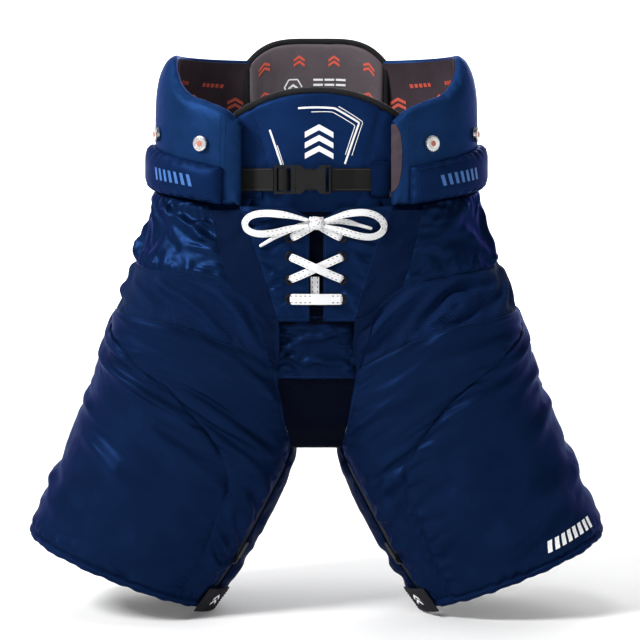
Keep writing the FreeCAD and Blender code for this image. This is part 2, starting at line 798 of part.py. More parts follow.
BOW_LEFT = [
    V(-8.9, -126, 446), V(-22, -126.5, 450), V(-40, -126, 453), V(-57, -123, 454), V(-71, -119.5, 451.5),
    V(-78, -117.5, 444), V(-75.5, -118, 435.5), V(-64, -120.5, 431), V(-48, -123.5, 432), V(-31, -125, 436),
    V(-17, -125.5, 439.5), V(-8.9, -126, 440.5),
]
BOW_RIGHT = [
    V(8.9, -126, 445.5), V(21, -126.5, 450), V(37, -126, 454), V(53, -123.5, 455), V(66, -120.5, 451),
    V(74, -118, 442.5), V(72, -118.5, 433), V(61, -121, 427.5), V(46, -123.5, 429), V(30, -125, 434),
    V(17, -125.5, 438), V(8.9, -126, 440),
]
TAIL_LEFT = [V(-8.9, -120.9, 443), V(-18, -121.5, 440.2), V(-28, -121.4, 436.2), V(-38.5, -120.9, 431.6),
             V(-48.5, -119.9, 425.6)]
TAIL_RIGHT = [V(8.9, -120.9, 443.5), V(18, -121.7, 445.4), V(27.5, -121.5, 445.2), V(37, -120.7, 443.6),
              V(46, -119.5, 441)]
AGLET_LONG = 15.0
AGLET_R = 2.1


def aglets():
    caps = []
    for route in (TAIL_LEFT, TAIL_RIGHT):
        along = route[-1] - route[-2]
        along.normalize()
        caps.append(Part.makeCylinder(AGLET_R, AGLET_LONG, route[-1], along))
    return Part.Compound(caps)


# ---------------------------------------------------------------- the whole
def build():
    parts = {
        "fly_gusset": fly_gusset(),
        "crotch_panel": crotch_panel(),
        "crotch_gusset": crotch_gusset(),
        "seat_panel": seat_panel(),
        "tailbone_plate": tailbone(FABRIC + 0.6, FABRIC + 3.0, 32, 352, 440),
        "tailbone_pad": tailbone(FABRIC + 3.4, FABRIC + 14.0, 38, 344, 446),
        "tongue_pad": pad(tongue_point, 0, TONGUE_THICK, from_axis),
        "tongue_binding": pad_binding(tongue_point, 6.0, 0.6),
        "spine_pad": pad(spine_point, 0, SPINE_THICK, lambda p: V(0, -1, 0)),
        "spine_plate": pad(lambda u, v: spine_point(u * 0.82, 0.08 + v * 0.84), SPINE_THICK + 0.4,
                           SPINE_THICK + 2.8, lambda p: V(0, -1, 0)),
        "spine_binding": pad_binding(spine_point, 6.0, 0.4),
        "belt_strap_left": strap(-140, BUCKLE_X - 24.5),
        "belt_strap_right": strap(BUCKLE_X + BUCKLE_LONG + 0.6, 140),
        "belt_loops": belt_loops(),
        "buckle_female": buckle_female(),
        "buckle_male": buckle_male(),
        "buckle_prong_upper": buckle_prong(1),
        "buckle_prong_lower": buckle_prong(-1),
        "eyelets": eyelets(),
        "lace_lacing": lacing(),
        "lace_knot": knot(),
        "lace_bow_left": cord("bow left", BOW_LEFT),
        "lace_bow_right": cord("bow right", BOW_RIGHT),
        "lace_tail_left": cord("tail left", TAIL_LEFT),
        "lace_tail_right": cord("tail right", TAIL_RIGHT),
        "lace_aglets": aglets(),
    }
    for name, side in SIDES.items():
        parts["fly_panel_" + name] = fly_panel(side)
        parts["yoke_knit_" + name] = yoke_knit(side)
        parts["hip_panel_" + name] = hip_panel(side)
        parts["stretch_band_" + name] = stretch_band(side)
        parts["hip_pad_" + name] = hip_pad(side)
        parts["hip_plate_" + name] = hip_plate(side)
        parts["belt_cover_" + name] = belt_cover(side)
        parts["suspender_buttons_" + name] = buttons(side)
        parts["leg_front_panel_" + name] = leg_front_panel(side)
        parts["leg_outer_panel_" + name] = leg_outer_panel(side)
        parts["leg_inner_panel_" + name] = leg_inner_panel(side)
        parts["hem_binding_" + name] = hem(side)
        parts["thigh_plate_" + name] = thigh_layer(side, FABRIC + 2.4, FABRIC + 4.8, 6)
        parts["thigh_foam_" + name] = thigh_layer(side, FABRIC + 5.6, FABRIC + 16.0, 0)
        parts["zip_tape_" + name] = zip_tape(side)
        parts["zip_slider_" + name] = zip_slider(side)
        parts["leg_tab_" + name] = tab(side)
        say_leg_lines(name, side)
    return parts


def main():
    os.makedirs("parts", exist_ok=True)
    for name, shape in build().items():
        shape.translate(V(0, SHIFT_Y, SHIFT_Z))
        if not shape.isValid():
            print("not valid:", name)
        shape.exportStep(f"parts/{name}.step")


main()
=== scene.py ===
"""Looks of the ice hockey pants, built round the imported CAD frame. Metres, in the CAD's own frame."""

import json
import math
import bpy
import numpy as np
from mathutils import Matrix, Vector


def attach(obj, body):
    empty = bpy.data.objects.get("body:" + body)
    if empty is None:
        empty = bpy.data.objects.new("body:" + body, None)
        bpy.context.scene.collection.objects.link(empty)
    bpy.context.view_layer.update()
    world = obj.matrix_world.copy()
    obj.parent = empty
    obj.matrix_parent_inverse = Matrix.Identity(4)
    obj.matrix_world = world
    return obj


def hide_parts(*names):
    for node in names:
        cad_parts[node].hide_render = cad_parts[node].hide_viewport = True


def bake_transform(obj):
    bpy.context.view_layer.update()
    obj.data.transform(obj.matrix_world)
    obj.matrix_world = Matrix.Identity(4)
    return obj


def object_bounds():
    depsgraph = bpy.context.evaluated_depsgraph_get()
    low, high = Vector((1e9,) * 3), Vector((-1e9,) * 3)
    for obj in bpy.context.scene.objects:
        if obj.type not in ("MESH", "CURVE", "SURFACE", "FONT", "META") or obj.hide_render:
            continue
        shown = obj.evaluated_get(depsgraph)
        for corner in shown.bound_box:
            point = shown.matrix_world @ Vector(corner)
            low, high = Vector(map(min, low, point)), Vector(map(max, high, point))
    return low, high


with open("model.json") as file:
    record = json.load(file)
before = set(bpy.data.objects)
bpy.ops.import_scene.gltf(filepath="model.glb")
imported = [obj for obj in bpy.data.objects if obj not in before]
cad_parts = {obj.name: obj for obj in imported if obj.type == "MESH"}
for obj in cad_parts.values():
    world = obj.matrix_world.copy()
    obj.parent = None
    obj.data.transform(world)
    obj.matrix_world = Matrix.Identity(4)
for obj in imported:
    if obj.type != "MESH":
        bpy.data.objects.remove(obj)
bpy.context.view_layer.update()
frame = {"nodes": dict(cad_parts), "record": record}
SIDES = {"left": -1, "right": 1}    # named as seen from the front
RNG = np.random.default_rng(7)      # every random draw comes from this one seeded source, in order

# ---------------------------------------------------------------- the garment's pattern, as in part.py
# Heights and widths are in millimetres above the foot of the legs, angles in degrees from the side,
# negative towards the front. TRUNK: height, half width, half depth, squareness. LEG: place along the leg,
# centre x and z, tilt, half width, half depth, squareness. The rest are pairs of place and value.
WAIST_Z = 490.0
TRUNK = [(290, 236, 121, 3.4), (342, 223, 121, 3.2), (401, 204, 120, 2.7), (435, 192, 117, 2.5),
         (478, 184, 113, 2.4)]
LEG = [(-0.1, 235, 28, 22.0, 111, 97, 2.3), (0.0, 222, 50, 22.0, 113, 98, 2.3),
       (0.2, 195, 96, 21.5, 118, 101, 2.3), (0.4, 171, 146, 20.0, 121, 106, 2.4),
       (0.6, 148, 196, 17.0, 121, 111, 2.6), (0.8, 134, 240, 13.0, 117, 115, 3.0),
       (1.0, 127, 285, 8.0, 112, 119, 3.3), (1.25, 118, 347, 3.0, 105, 122, 3.6)]
FRONT_EDGE = [(0.0, 148), (0.5, 148), (0.6, 151), (0.7, 154), (0.8, 142), (0.9, 136), (1.0, 132), (1.25, 129)]
THIGH_SEAM = [(0.0, 129), (0.3, 123), (0.55, 117), (0.8, 86), (0.95, 60), (1.05, 44), (1.12, 22), (1.25, -16)]
WAIST_TOP = [(0, 481), (41, 468), (63, 459), (90, 458)]
BAND_TOP = [(0, 401), (41, 390), (54, 384), (67, 371), (77, 342), (90, 337)]
FLY_EDGE = [(300, 41), (337, 42), (401, 62), (463, 84)]
YOKE_EDGE = [(337, 80), (371, 92), (401, 102), (463, 117)]
WING = [(455, 180, 119), (500, 179, 119), (583, 178, 117), (617, 171, 113), (640, 161, 106)]
WING_TOP = [(-63, 552), (-58, 565), (-49, 576), (-41, 583), (-32, 597), (-23, 614), (-13, 627), (0, 632),
            (61, 633)]
COVER_TOP = [(-60, 502), (-41, 514), (0, 531), (41, 525), (60, 520)]
WING_SQUARE = 2.4
FLY_HALF_GAP, FLY_FOOT, FLY_HEAD, YOKE_HEAD = 7.5, 337.0, 461.0, 457.0
HIP_SEAM, SEAT_SEAM = 50.0, 90.0          # angles where the hip panel and each half of the seat panel end
LEG_SEAM = 140.0                          # angle where the outer leg panel meets the inner one
INNER_TOP = 0.70                          # place along the leg where the inner panel ends
CROTCH_HEAD = 1.245                       # place along the leg where the crotch panel ends
HIP_FOLD = ((0, 186), (63, 123))          # x and height where hip fabric starts and stops turning with the leg; they are only passed along, and no piece is turned by them
EYELET_X, EYELET_Z = 28.0, (427.0, 407.0, 382.0, 361.0)
BELT_Z, WEBBING = 490.0, 25.0


def curve(rows):
    """A smooth function through a table's rows, for arrays."""
    r = np.array(rows, float)
    x, y = r[:, 0], r[:, 1:]
    k = np.arange(len(x))
    a, b = np.maximum(k - 1, 0), np.minimum(k + 1, len(x) - 1)
    m = (y[b] - y[a]) / (x[b] - x[a])[:, None]

    def f(t):
        t = np.clip(np.asarray(t, float), x[0], x[-1])
        i = np.clip(np.searchsorted(x, t, side="right") - 1, 0, len(x) - 2)
        h = (x[i + 1] - x[i])[..., None]
        u = (t - x[i])[..., None] / h
        out = ((2 * u**3 - 3 * u**2 + 1) * y[i] + (u**3 - 2 * u**2 + u) * m[i] * h
               + (3 * u**2 - 2 * u**3) * y[i + 1] + (u**3 - u**2) * m[i + 1] * h)
        return out[..., 0] if y.shape[1] == 1 else np.moveaxis(out, -1, 0)

    return f


trunk_at, leg_at, wing_at = curve(TRUNK), curve(LEG), curve(WING)
front_edge, thigh_seam = curve(FRONT_EDGE), curve(THIGH_SEAM)
fly_edge, yoke_edge = curve(FLY_EDGE), curve(YOKE_EDGE)
waist_at, band_at, wing_top, cover_top = curve(WAIST_TOP), curve(BAND_TOP), curve(WING_TOP), curve(COVER_TOP)


def mix(a, b, f):
    return a + (b - a) * f


def ease(a, b, x):
    t = np.clip((x - a) / (b - a), 0, 1)
    return t * t * (3 - 2 * t)


def from_side(angle):
    """An angle measured from the side, the same at the front and the back."""
    return np.minimum(np.abs(angle), 180 - np.abs(angle))


def waist_top(angle):
    return waist_at(from_side(angle))


def band_top(angle):
    return band_at(from_side(angle))


def wing_bottom(angle):
    return waist_top(angle) + 3.0


def always(value):
    return lambda a: value + 0 * a


def arc(angle, n):
    """A point of a squared circle of squareness n."""
    c, s = np.cos(np.radians(angle)), np.sin(np.radians(angle))
    reach = (np.abs(c) ** n + np.abs(s) ** n) ** (-1.0 / n)
    return c * reach, s * reach


def metres(x, y, z):
    """A point from millimetres of the pattern to metres of the frame."""
    x, y, z = np.broadcast_arrays(x, y, z)
    return np.stack([x, y, z - WAIST_Z], -1) / 1000.0


def trunk(side, angle, z, out=0.0):
    """The trunk's surface, out millimetres outside it."""
    a, b, n = trunk_at(z)
    c, s = arc(angle, n)
    return metres(side * (a + out) * c, (b + out) * s, z)


def trunk_angle(x, z):
    """The angle of the trunk's front at x and a height."""
    a, _, n = trunk_at(z)
    return -np.degrees(np.arctan(np.maximum((a / np.maximum(x, 0.01)) ** n - 1, 1e-9) ** (1 / n)))


def leg(side, angle, s, out=0.0):
    """A leg's surface at a place along it, out millimetres outside it."""
    cx, cz, tilt, w, d, n = leg_at(s)
    c, k = arc(angle, n)
    t = np.radians(tilt)
    return metres(side * (cx + (w + out) * c * np.cos(t)), (d + out) * k, cz + (w + out) * c * np.sin(t))


def band_bottom(angle):
    """The place along the leg where the stretch band ends, lowest at the inner thigh."""
    return 1.22 - 0.18 * (np.minimum(np.abs(angle), 130.0) / 128.0) ** 2.7


def wing(side, angle, z, out=0.0):
    """The tall hip pads' outer surface, out millimetres outside it."""
    a, b = wing_at(z)
    c, s = arc(angle, WING_SQUARE)
    return metres(side * (a + out) * c, (b + out) * s, z)


def unit(v):
    return v / np.maximum(np.linalg.norm(v, axis=-1, keepdims=True), 1e-12)


def blended(corners, fx, fy):
    """Values between four corners, in the order (0, 0), (1, 0), (0, 1), (1, 1)."""
    a, b, c, d = corners
    return a * (1 - fx) * (1 - fy) + b * fx * (1 - fy) + c * (1 - fx) * fy + d * fx * fy


# ---------------------------------------------------------------- grids
class Grid:
    """A panel's points, (nu, nv, 3), with u running along its width and v up its height."""

    def __init__(self, p, outward, us=None, vs=None):
        self.p = p
        self.us = np.linspace(0, 1, p.shape[0]) if us is None else us
        self.vs = np.linspace(0, 1, p.shape[1]) if vs is None else vs
        self.flip = np.sum(self.raw_normals() * outward(p), -1).mean() < 0

    def raw_normals(self):
        return unit(np.cross(np.gradient(self.p, axis=0), np.gradient(self.p, axis=1)))

    def normals(self):
        return -self.raw_normals() if self.flip else self.raw_normals()

    def at(self, u, v, lift=0.0):
        """The surface at u, v in 0..1 (arrays), raised by lift along its normal."""
        nu, nv = self.p.shape[:2]
        u, v = np.broadcast_arrays(u, v)
        x = np.interp(u, self.us, np.arange(nu))
        y = np.interp(v, self.vs, np.arange(nv))
        i, j = np.minimum(x.astype(int), nu - 2), np.minimum(y.astype(int), nv - 2)
        fx, fy = (x - i)[..., None], (y - j)[..., None]

        def between(g):
            return blended((g[i, j], g[i + 1, j], g[i, j + 1], g[i + 1, j + 1]), fx, fy)

        return between(self.p) + unit(between(self.normals())) * np.asarray(lift)[..., None]

    def uvs(self):
        """Distances along the surface in metres, for patterns at their real size."""
        du = np.linalg.norm(np.diff(self.p, axis=0), axis=-1).mean(1)
        dv = np.linalg.norm(np.diff(self.p, axis=1), axis=-1).mean(0)
        u, v = np.r_[0, np.cumsum(du)], np.r_[0, np.cumsum(dv)]
        return np.stack(np.meshgrid(u, v, indexing="ij"), -1)

    def like(self, p):
        """A grid of other points that faces the same way."""
        other = Grid(p, lambda q: q)
        other.flip = self.flip
        return other


def radial(p):
    """Away from the frame's upright axis."""
    return p * np.array([1, 1, 0])


def facing(y):
    return lambda p: np.array([0, y, 0]) + 0 * p


def leg_outward(side):
    """Away from a leg's sloping middle line."""
    def outward(p):
        z = p[..., 2] * 1000 + WAIST_Z
        centre = side * mix(222.0, 110.0, np.minimum(1.0, z / 330)) / 1000
        return np.stack([p[..., 0] - centre, p[..., 1], 0 * z], -1)

    return outward


def grid(fn, nu, nv, outward=radial, us=None, vs=None):
    u = np.linspace(0, 1, nu) if us is None else us
    v = np.linspace(0, 1, nv) if vs is None else vs
    uu, vv = np.meshgrid(u, v, indexing="ij")
    return Grid(fn(uu, vv), outward, u, v)


def cells(nu, nv, flip, base=0):
    i, j = np.meshgrid(np.arange(nu - 1), np.arange(nv - 1), indexing="ij")
    a = base + i * nv + j
    quads = np.stack([a, a + nv, a + nv + 1, a + 1], -1).reshape(-1, 4)
    return quads[:, ::-1] if flip else quads


def smooth_path(points, count):
    """A dense smooth line through points."""
    r = np.array(points, float)
    t = np.r_[0, np.cumsum(np.linalg.norm(np.diff(r, axis=0), axis=1))]
    return np.moveaxis(curve(np.column_stack([t, r]))(np.linspace(0, t[-1], count)), 0, -1)


def up2(p):
    """Twice the points along both ways, through the old ones, on a smooth surface."""
    for axis in (0, 1):
        q = np.moveaxis(p, axis, 0)
        pad = np.concatenate([2 * q[:1] - q[1:2], q, 2 * q[-1:] - q[-2:-1]])
        mid = (9 * (pad[1:-2] + pad[2:-1]) - pad[:-3] - pad[3:]) / 16
        out = np.empty((2 * len(q) - 1,) + q.shape[1:])
        out[0::2], out[1::2] = q, mid
        p = np.moveaxis(out, 0, axis)
    return p


SHARP = math.radians(62)    # edges folded more than this are shaded as creases


def mesh_object(name, verts, faces, uvs=None, smooth=True):
    me = bpy.data.meshes.new(name)
    me.from_pydata([tuple(v) for v in verts], [], [tuple(f) for f in faces])
    me.validate()
    if uvs is not None:
        layer = me.uv_layers.new(name="UVMap")
        index = np.empty(len(me.loops), np.int64)
        me.loops.foreach_get("vertex_index", index)
        layer.data.foreach_set("uv", np.asarray(uvs, np.float32)[index].ravel())
    if smooth:
        me.polygons.foreach_set("use_smooth", [True] * len(me.polygons))
        me.set_sharp_from_angle(angle=SHARP)
    ob = bpy.data.objects.new(name, me)
    bpy.context.scene.collection.objects.link(ob)
    return ob


def border(nu, nv):
    """Border indices of a grid in order round it."""
    i = np.arange(nu * nv).reshape(nu, nv)
    return np.concatenate([i[:-1, 0], i[-1, :-1], i[:0:-1, -1], i[0, :0:-1]])


def shell_arrays(g, thick):
    """A closed sheet: the grid's outer skin, an inner skin below it, and a rim."""
    nu, nv = g.p.shape[:2]
    outer = g.p.reshape(-1, 3)
    inner = (g.p - g.normals() * thick).reshape(-1, 3)
    n = nu * nv
    faces = [cells(nu, nv, g.flip), cells(nu, nv, not g.flip, n)]
    b = border(nu, nv)
    c = np.roll(b, -1)
    rim = np.stack([b, c, c + n, b + n], 1)
    faces.append(rim if g.flip else rim[:, ::-1])
    uv = g.uvs().reshape(-1, 2)
    return np.concatenate([outer, inner]), np.concatenate(faces), np.concatenate([uv, uv])


def pad_arrays(outer, inner):
    """A closed pad from two skins that meet along their borders."""
    nu, nv = outer.p.shape[:2]
    n = nu * nv
    b = set(border(nu, nv).tolist())
    move = np.array([k if k in b else k + n for k in range(n)])
    faces = np.concatenate([cells(nu, nv, outer.flip), move[cells(nu, nv, not outer.flip)]])
    uv = outer.uvs().reshape(-1, 2)
    verts = np.concatenate([outer.p.reshape(-1, 3), inner.p.reshape(-1, 3)])
    used = np.unique(faces)
    back = np.full(len(verts), -1)
    back[used] = np.arange(len(used))
    return verts[used], back[faces], np.concatenate([uv, uv])[used]


def merged(*parts):
    verts, faces, uvs, base = [], [], [], 0
    for v, f, uv in parts:
        verts.append(v)
        faces += [[int(i) + base for i in q] for q in f]
        uvs.append(uv)
        base += len(v)
    return np.concatenate(verts), faces, np.concatenate(uvs)


def lengths(g):
    """A grid's mean width and height in metres."""
    du = np.linalg.norm(np.diff(g.p, axis=0), axis=-1).sum(0).mean()
    dv = np.linalg.norm(np.diff(g.p, axis=1), axis=-1).sum(1).mean()
    return du, dv


def edge_steps(length, r, step):
    """Places in 0..1 that crowd towards both ends, where a pad rounds over."""
    near = r * (1 - np.cos(np.linspace(0, math.pi / 2, 5)))
    count = max(2, int(round((length - 2 * r) / step)))
    middle = np.linspace(r, length - r, count + 1)[1:-1]
    return np.concatenate([near, middle, length - near[::-1]]) / length


def pillow(fn, thick, r, width, height, step=0.005, outward=radial):
    """Outer and inner skins of a pad with edges rounded by r. fn(u, v, depth) is the surface at a depth."""
    us, vs = edge_steps(width, r, step), edge_steps(height, r, step)

    def swell(u, v):
        def edge(t, length):
            d = np.minimum(np.minimum(t, 1 - t) * length, r) / r
            return np.sqrt(np.maximum(1 - (1 - d) ** 2, 0))

        return thick / 2 * edge(u, width) * edge(v, height)

    return [grid(lambda u, v: fn(u, v, thick / 2 + way * swell(u, v)), 0, 0, outward, us, vs) for way in (-1, 1)]


# ---------------------------------------------------------------- cloth
def shares(g):
    nu, nv = g.p.shape[:2]
    return np.meshgrid(np.linspace(0, 1, nu), np.linspace(0, 1, nv), indexing="ij")


def edge_distances(g):
    """Each point's distance in metres from a grid's first, last, foot and top edges."""
    (w, h), (u, v) = lengths(g), shares(g)
    return u * w, (1 - u) * w, v * h, (1 - v) * h


def near(g, reach, *which):
    """1 at the named edges of a grid, falling off over reach metres."""
    far = dict(zip(("first", "last", "foot", "top"), edge_distances(g)))
    return sum(np.exp(-far[k] / reach) for k in which)


def uneven(g, low, high, size=0.05):
    """A smooth seeded field between low and high, with patches about size metres across."""
    w, h = lengths(g)
    nu, nv = g.p.shape[:2]
    cu, cv = max(3, int(w / size) + 2), max(3, int(h / size) + 2)
    coarse = RNG.random((cu, cv))
    x, y = np.meshgrid(np.linspace(0, cu - 1.001, nu), np.linspace(0, cv - 1.001, nv), indexing="ij")
    i, j = x.astype(int), y.astype(int)
    fx, fy = ease(0, 1, x - i), ease(0, 1, y - j)
    corners = coarse[i, j], coarse[i + 1, j], coarse[i, j + 1], coarse[i + 1, j + 1]
    return low + (high - low) * blended(corners, fx, fy)


def fold(g, start, end, width, height):
    """A soft ridge with a hollow on each side, from one spot to another given as shares of a grid's size."""
    w, h = lengths(g)
    nu, nv = g.p.shape[:2]
    u, v = np.meshgrid(np.linspace(0, w, nu), np.linspace(0, h, nv), indexing="ij")
    (u0, v0), (u1, v1) = ((q[0] * w, q[1] * h) for q in (start, end))
    size = max(math.hypot(u1 - u0, v1 - v0), 1e-6)
    along = ((u - u0) * (u1 - u0) + (v - v0) * (v1 - v0)) / size**2
    off = ((v - v0) * (u1 - u0) - (u - u0) * (v1 - v0)) / size
    d = (off - 0.1 * size * np.sin(math.pi * np.clip(along, 0, 1))) / width
    fade = ease(-0.15, 0.3, along) * (1 - ease(0.55, 1.15, along))
    return height * fade * (np.exp(-d * d) - 0.35 * np.exp(-(d / 2) ** 2))


def drag_lines(g, count, turn, long, width, height, span=(0.06, 0.94)):
    """Long folds that lean by turn degrees from a grid's first way, spread evenly over a span of it."""
    w, h = lengths(g)
    field = np.zeros(g.p.shape[:2])
    heights = RNG.permutation(count)
    for k in range(count):
        u = span[0] + (span[1] - span[0]) * (k + RNG.random()) / count
        v = 0.08 + 0.84 * (heights[k] + RNG.random()) / count
        way = math.radians(turn + RNG.normal(0, 11))
        half = long * RNG.uniform(0.35, 0.6)
        du, dv = half * math.cos(way) / w, half * math.sin(way) / h
        field += fold(g, (u - du, v - dv), (u + du, v + dv), width * RNG.uniform(0.8, 1.3),
                      height * RNG.uniform(0.6, 1.25))
    return field


def puckers(g, edge, pitch, long, width, height):
    """Short folds that run in from a sewn edge."""
    w, h = lengths(g)
    run, deep = (h, w) if edge in ("first", "last") else (w, h)
    field = np.zeros(g.p.shape[:2])
    count = int(run / pitch)
    for k in range(count):
        at = (k + RNG.uniform(0.2, 0.8)) / count
        reach = long * RNG.uniform(0.5, 1.25) / deep
        leant = at + RNG.normal(0, 0.3) * long / run
        near_end, far_end = (1.02, 1 - reach) if edge in ("last", "top") else (-0.02, reach)
        ends = ((near_end, at), (far_end, leant))
        if edge in ("foot", "top"):
            ends = tuple(q[::-1] for q in ends)
        field += fold(g, *ends, width * RNG.uniform(0.8, 1.2), height * RNG.uniform(0.5, 1.25))
    return field


def held_at_seams(g, field, reach=0.004):
    """Fades a height field out at a grid's border."""
    for far in edge_distances(g):
        field = field * (1 - np.exp(-(far / reach) ** 2))
    return field


def border_pin(g):
    """True at a grid's border, where it is sewn."""
    pin = np.ones(g.p.shape[:2], bool)
    pin[1:-1, 1:-1] = False
    return pin


STRETCH, SHEAR, BEND = 0.5, 0.2, 0.2      # how stiffly the cloth's links hold
START_CRUMPLE = 0.0004                    # random lift in metres that the simulation starts from
SPEED_KEPT, PADDING_GIVE = 0.93, 0.6      # shares per step
LINK_PASSES, QUICK_STEPS = 8, 6


def cloth_links(full, free, grow_u, grow_v):
    """Pairs of neighbouring points with their rest lengths and stiffness. The last of each says whether the
    link only resists bending, so it pushes but never pulls."""
    nu, nv = full.shape[:2]
    links = []
    for du, dv, stiff, bends in ((1, 0, STRETCH, False), (0, 1, STRETCH, False), (1, 1, SHEAR, False),
                                 (1, -1, SHEAR, False), (2, 0, BEND, True), (0, 2, BEND, True)):
        rows = slice(0, nu - du), slice(du, nu)
        cols = (slice(0, nv - dv), slice(dv, nv)) if dv >= 0 else (slice(-dv, nv), slice(0, nv + dv))
        one, two = (rows[0], cols[0]), (rows[1], cols[1])
        size = np.linalg.norm(full[two] - full[one], axis=-1, keepdims=True)
        share = du * du / (du * du + dv * dv)
        rest = size * (1 + share * grow_u[one] + (1 - share) * grow_v[one])
        links.append((one, two, rest, stiff / np.maximum(free[one] + free[two], 1.0), bends))
    return links


def settle(g, grow_u, grow_v, puff=0.0, low=0.0015, high=0.006, steps=110, folds=0.0):
    """A cloth simulation of one panel. It is cut longer than its place by grow_u and grow_v and by its folds,
    its seams are pinned, the padding below holds it within low, and it stands proud by high at most."""
    nu, nv = g.p.shape[:2]
    start, normal = g.p.copy(), g.normals()
    free = np.where(border_pin(g), 0.0, 1.0)[..., None]
    full = start + normal * (np.zeros((nu, nv)) + folds)[..., None]
    p = full + normal * free * RNG.normal(0.0, START_CRUMPLE, (nu, nv, 1))
    grow_u, grow_v = (np.broadcast_to(x, (nu, nv))[..., None] for x in (grow_u, grow_v))
    links = cloth_links(full, free, grow_u, grow_v)
    old = p.copy()
    for _ in range(steps):
        ahead = p + ((p - old) * SPEED_KEPT + normal * puff) * free
        old, p = p, ahead
        for _ in range(LINK_PASSES):
            for one, two, rest, stiff, bends in links:
                d = p[two] - p[one]
                n = np.linalg.norm(d, axis=-1, keepdims=True) + 1e-12
                over = np.minimum(n - rest, 0) if bends else n - rest
                move = d * (over * stiff / n)
                p[one] += move * free[one]
                p[two] -= move * free[two]
        lift = np.sum((p - start) * normal, -1, keepdims=True)
        p += normal * (np.clip(lift, -low, high) - lift) * PADDING_GIVE * free
    g.p = p
    return g


# ---------------------------------------------------------------- materials
class Nodes:
    """Short calls for building one material's nodes."""

    def __init__(self, name):
        self.mat = bpy.data.materials.new(name)
        self.mat.use_nodes = True
        self.t = self.mat.node_tree
        self.bsdf = self.t.nodes["Principled BSDF"]

    def add(self, kind, **settings):
        node = self.t.nodes.new("ShaderNode" + kind)
        for key, value in settings.items():
            setattr(node, key, value)
        return node

    def math(self, op, a, b=None):
        node = self.add("Math", operation=op)
        for k, value in enumerate((a, b)):
            if isinstance(value, (int, float)):
                node.inputs[k].default_value = value
            elif value is not None:
                self.t.links.new(value, node.inputs[k])
        return node.outputs[0]

    def coords(self):
        return self.add("UVMap", uv_map="UVMap").outputs[0]

    def place(self):
        return self.add("TexCoord").outputs["Object"]

    def uv(self):
        split = self.add("SeparateXYZ")
        self.t.links.new(self.coords(), split.inputs["Vector"])
        return split.outputs[0], split.outputs[1]

    def noise(self, scale, detail=4.0, rough=0.55, kind="FBM", distortion=0.0, vector=None):
        node = self.add("TexNoise", noise_type=kind)
        for key, value in (("Scale", scale), ("Detail", detail), ("Roughness", rough),
                           ("Distortion", distortion)):
            node.inputs[key].default_value = value
        self.t.links.new(vector or self.coords(), node.inputs["Vector"])
        return node.outputs["Fac"]

    def ramp(self, fac, *stops):
        node = self.add("ValToRGB")
        for e, (at, colour) in zip(node.color_ramp.elements, stops):
            e.position, e.color = at, (*colour, 1)
        self.t.links.new(fac, node.inputs["Fac"])
        return node.outputs["Color"]

    def range(self, value, *limits):
        """value from one pair of limits to another."""
        node = self.add("MapRange")
        for k, limit in enumerate(limits):
            node.inputs[k + 1].default_value = limit
        self.t.links.new(value, node.inputs[0])
        return node.outputs[0]

    def bump(self, height, strength, distance, normal=None):
        node = self.add("Bump")
        node.inputs["Strength"].default_value = strength
        node.inputs["Distance"].default_value = distance
        self.t.links.new(height, node.inputs["Height"])
        if normal is not None:
            self.t.links.new(normal, node.inputs["Normal"])
        return node.outputs[0]

    def link(self, source, name):
        self.t.links.new(source, self.bsdf.inputs[name])

    def set(self, **values):
        for key, value in values.items():
            self.bsdf.inputs[key.replace("_", " ")].default_value = value

    def weave(self, pitch_u, pitch_v, twill=0.0):
        """Threads that pass over and under: 0 low to 1 high, at a pitch in metres."""
        u, v = self.uv()
        a = self.math("SINE", self.math("MULTIPLY", u, 2 * math.pi / pitch_u))
        shifted = self.math("ADD", self.math("MULTIPLY", v, 2 * math.pi / pitch_v),
                            self.math("MULTIPLY", u, twill * 2 * math.pi / pitch_u))
        b = self.math("SINE", shifted)
        return self.math("ADD", self.math("MULTIPLY", self.math("MULTIPLY", a, b), 0.5), 0.5)


def tone(rgb, k):
    return tuple(min(1.0, c * k) for c in rgb)


SILK_EDGE, SILK_SHEEN = (0.22, 0.38, 0.75, 1), (0.04, 0.2, 0.85, 1)    # the fabric's colour at a grazing angle
TWILL_U, TWILL_V = 0.0011, 0.0008


def satin(name, base, rough=0.42, crinkle=0.35, silk=0.45):
    """Nylon satin: a fine twill, soft crinkles and a silky shine of its own colour."""
    m = Nodes(name)
    m.link(m.ramp(m.noise(28.0, 5.0, 0.6), (0.3, tone(base, 0.84)), (0.7, tone(base, 1.18))), "Base Color")
    m.link(m.range(m.noise(55.0, 4.0), 0.3, 0.7, rough - 0.05, rough + 0.08), "Roughness")
    twill = m.bump(m.weave(TWILL_U, TWILL_V, 1.0), 0.22, 0.0001)
    creases = m.noise(34.0, 4.0, 0.5, "RIDGED_MULTIFRACTAL", 0.8)
    soft = m.noise(15.0, 3.0, 0.5, "FBM", 1.4)
    m.link(m.bump(soft, crinkle, 0.004, m.bump(creases, crinkle * 0.35, 0.0012, twill)), "Normal")
    m.set(Metallic=silk, Sheen_Weight=0.02, Sheen_Roughness=0.35, Specular_IOR_Level=0.02,
          Specular_Tint=SILK_EDGE, Sheen_Tint=SILK_SHEEN)
    return m.mat


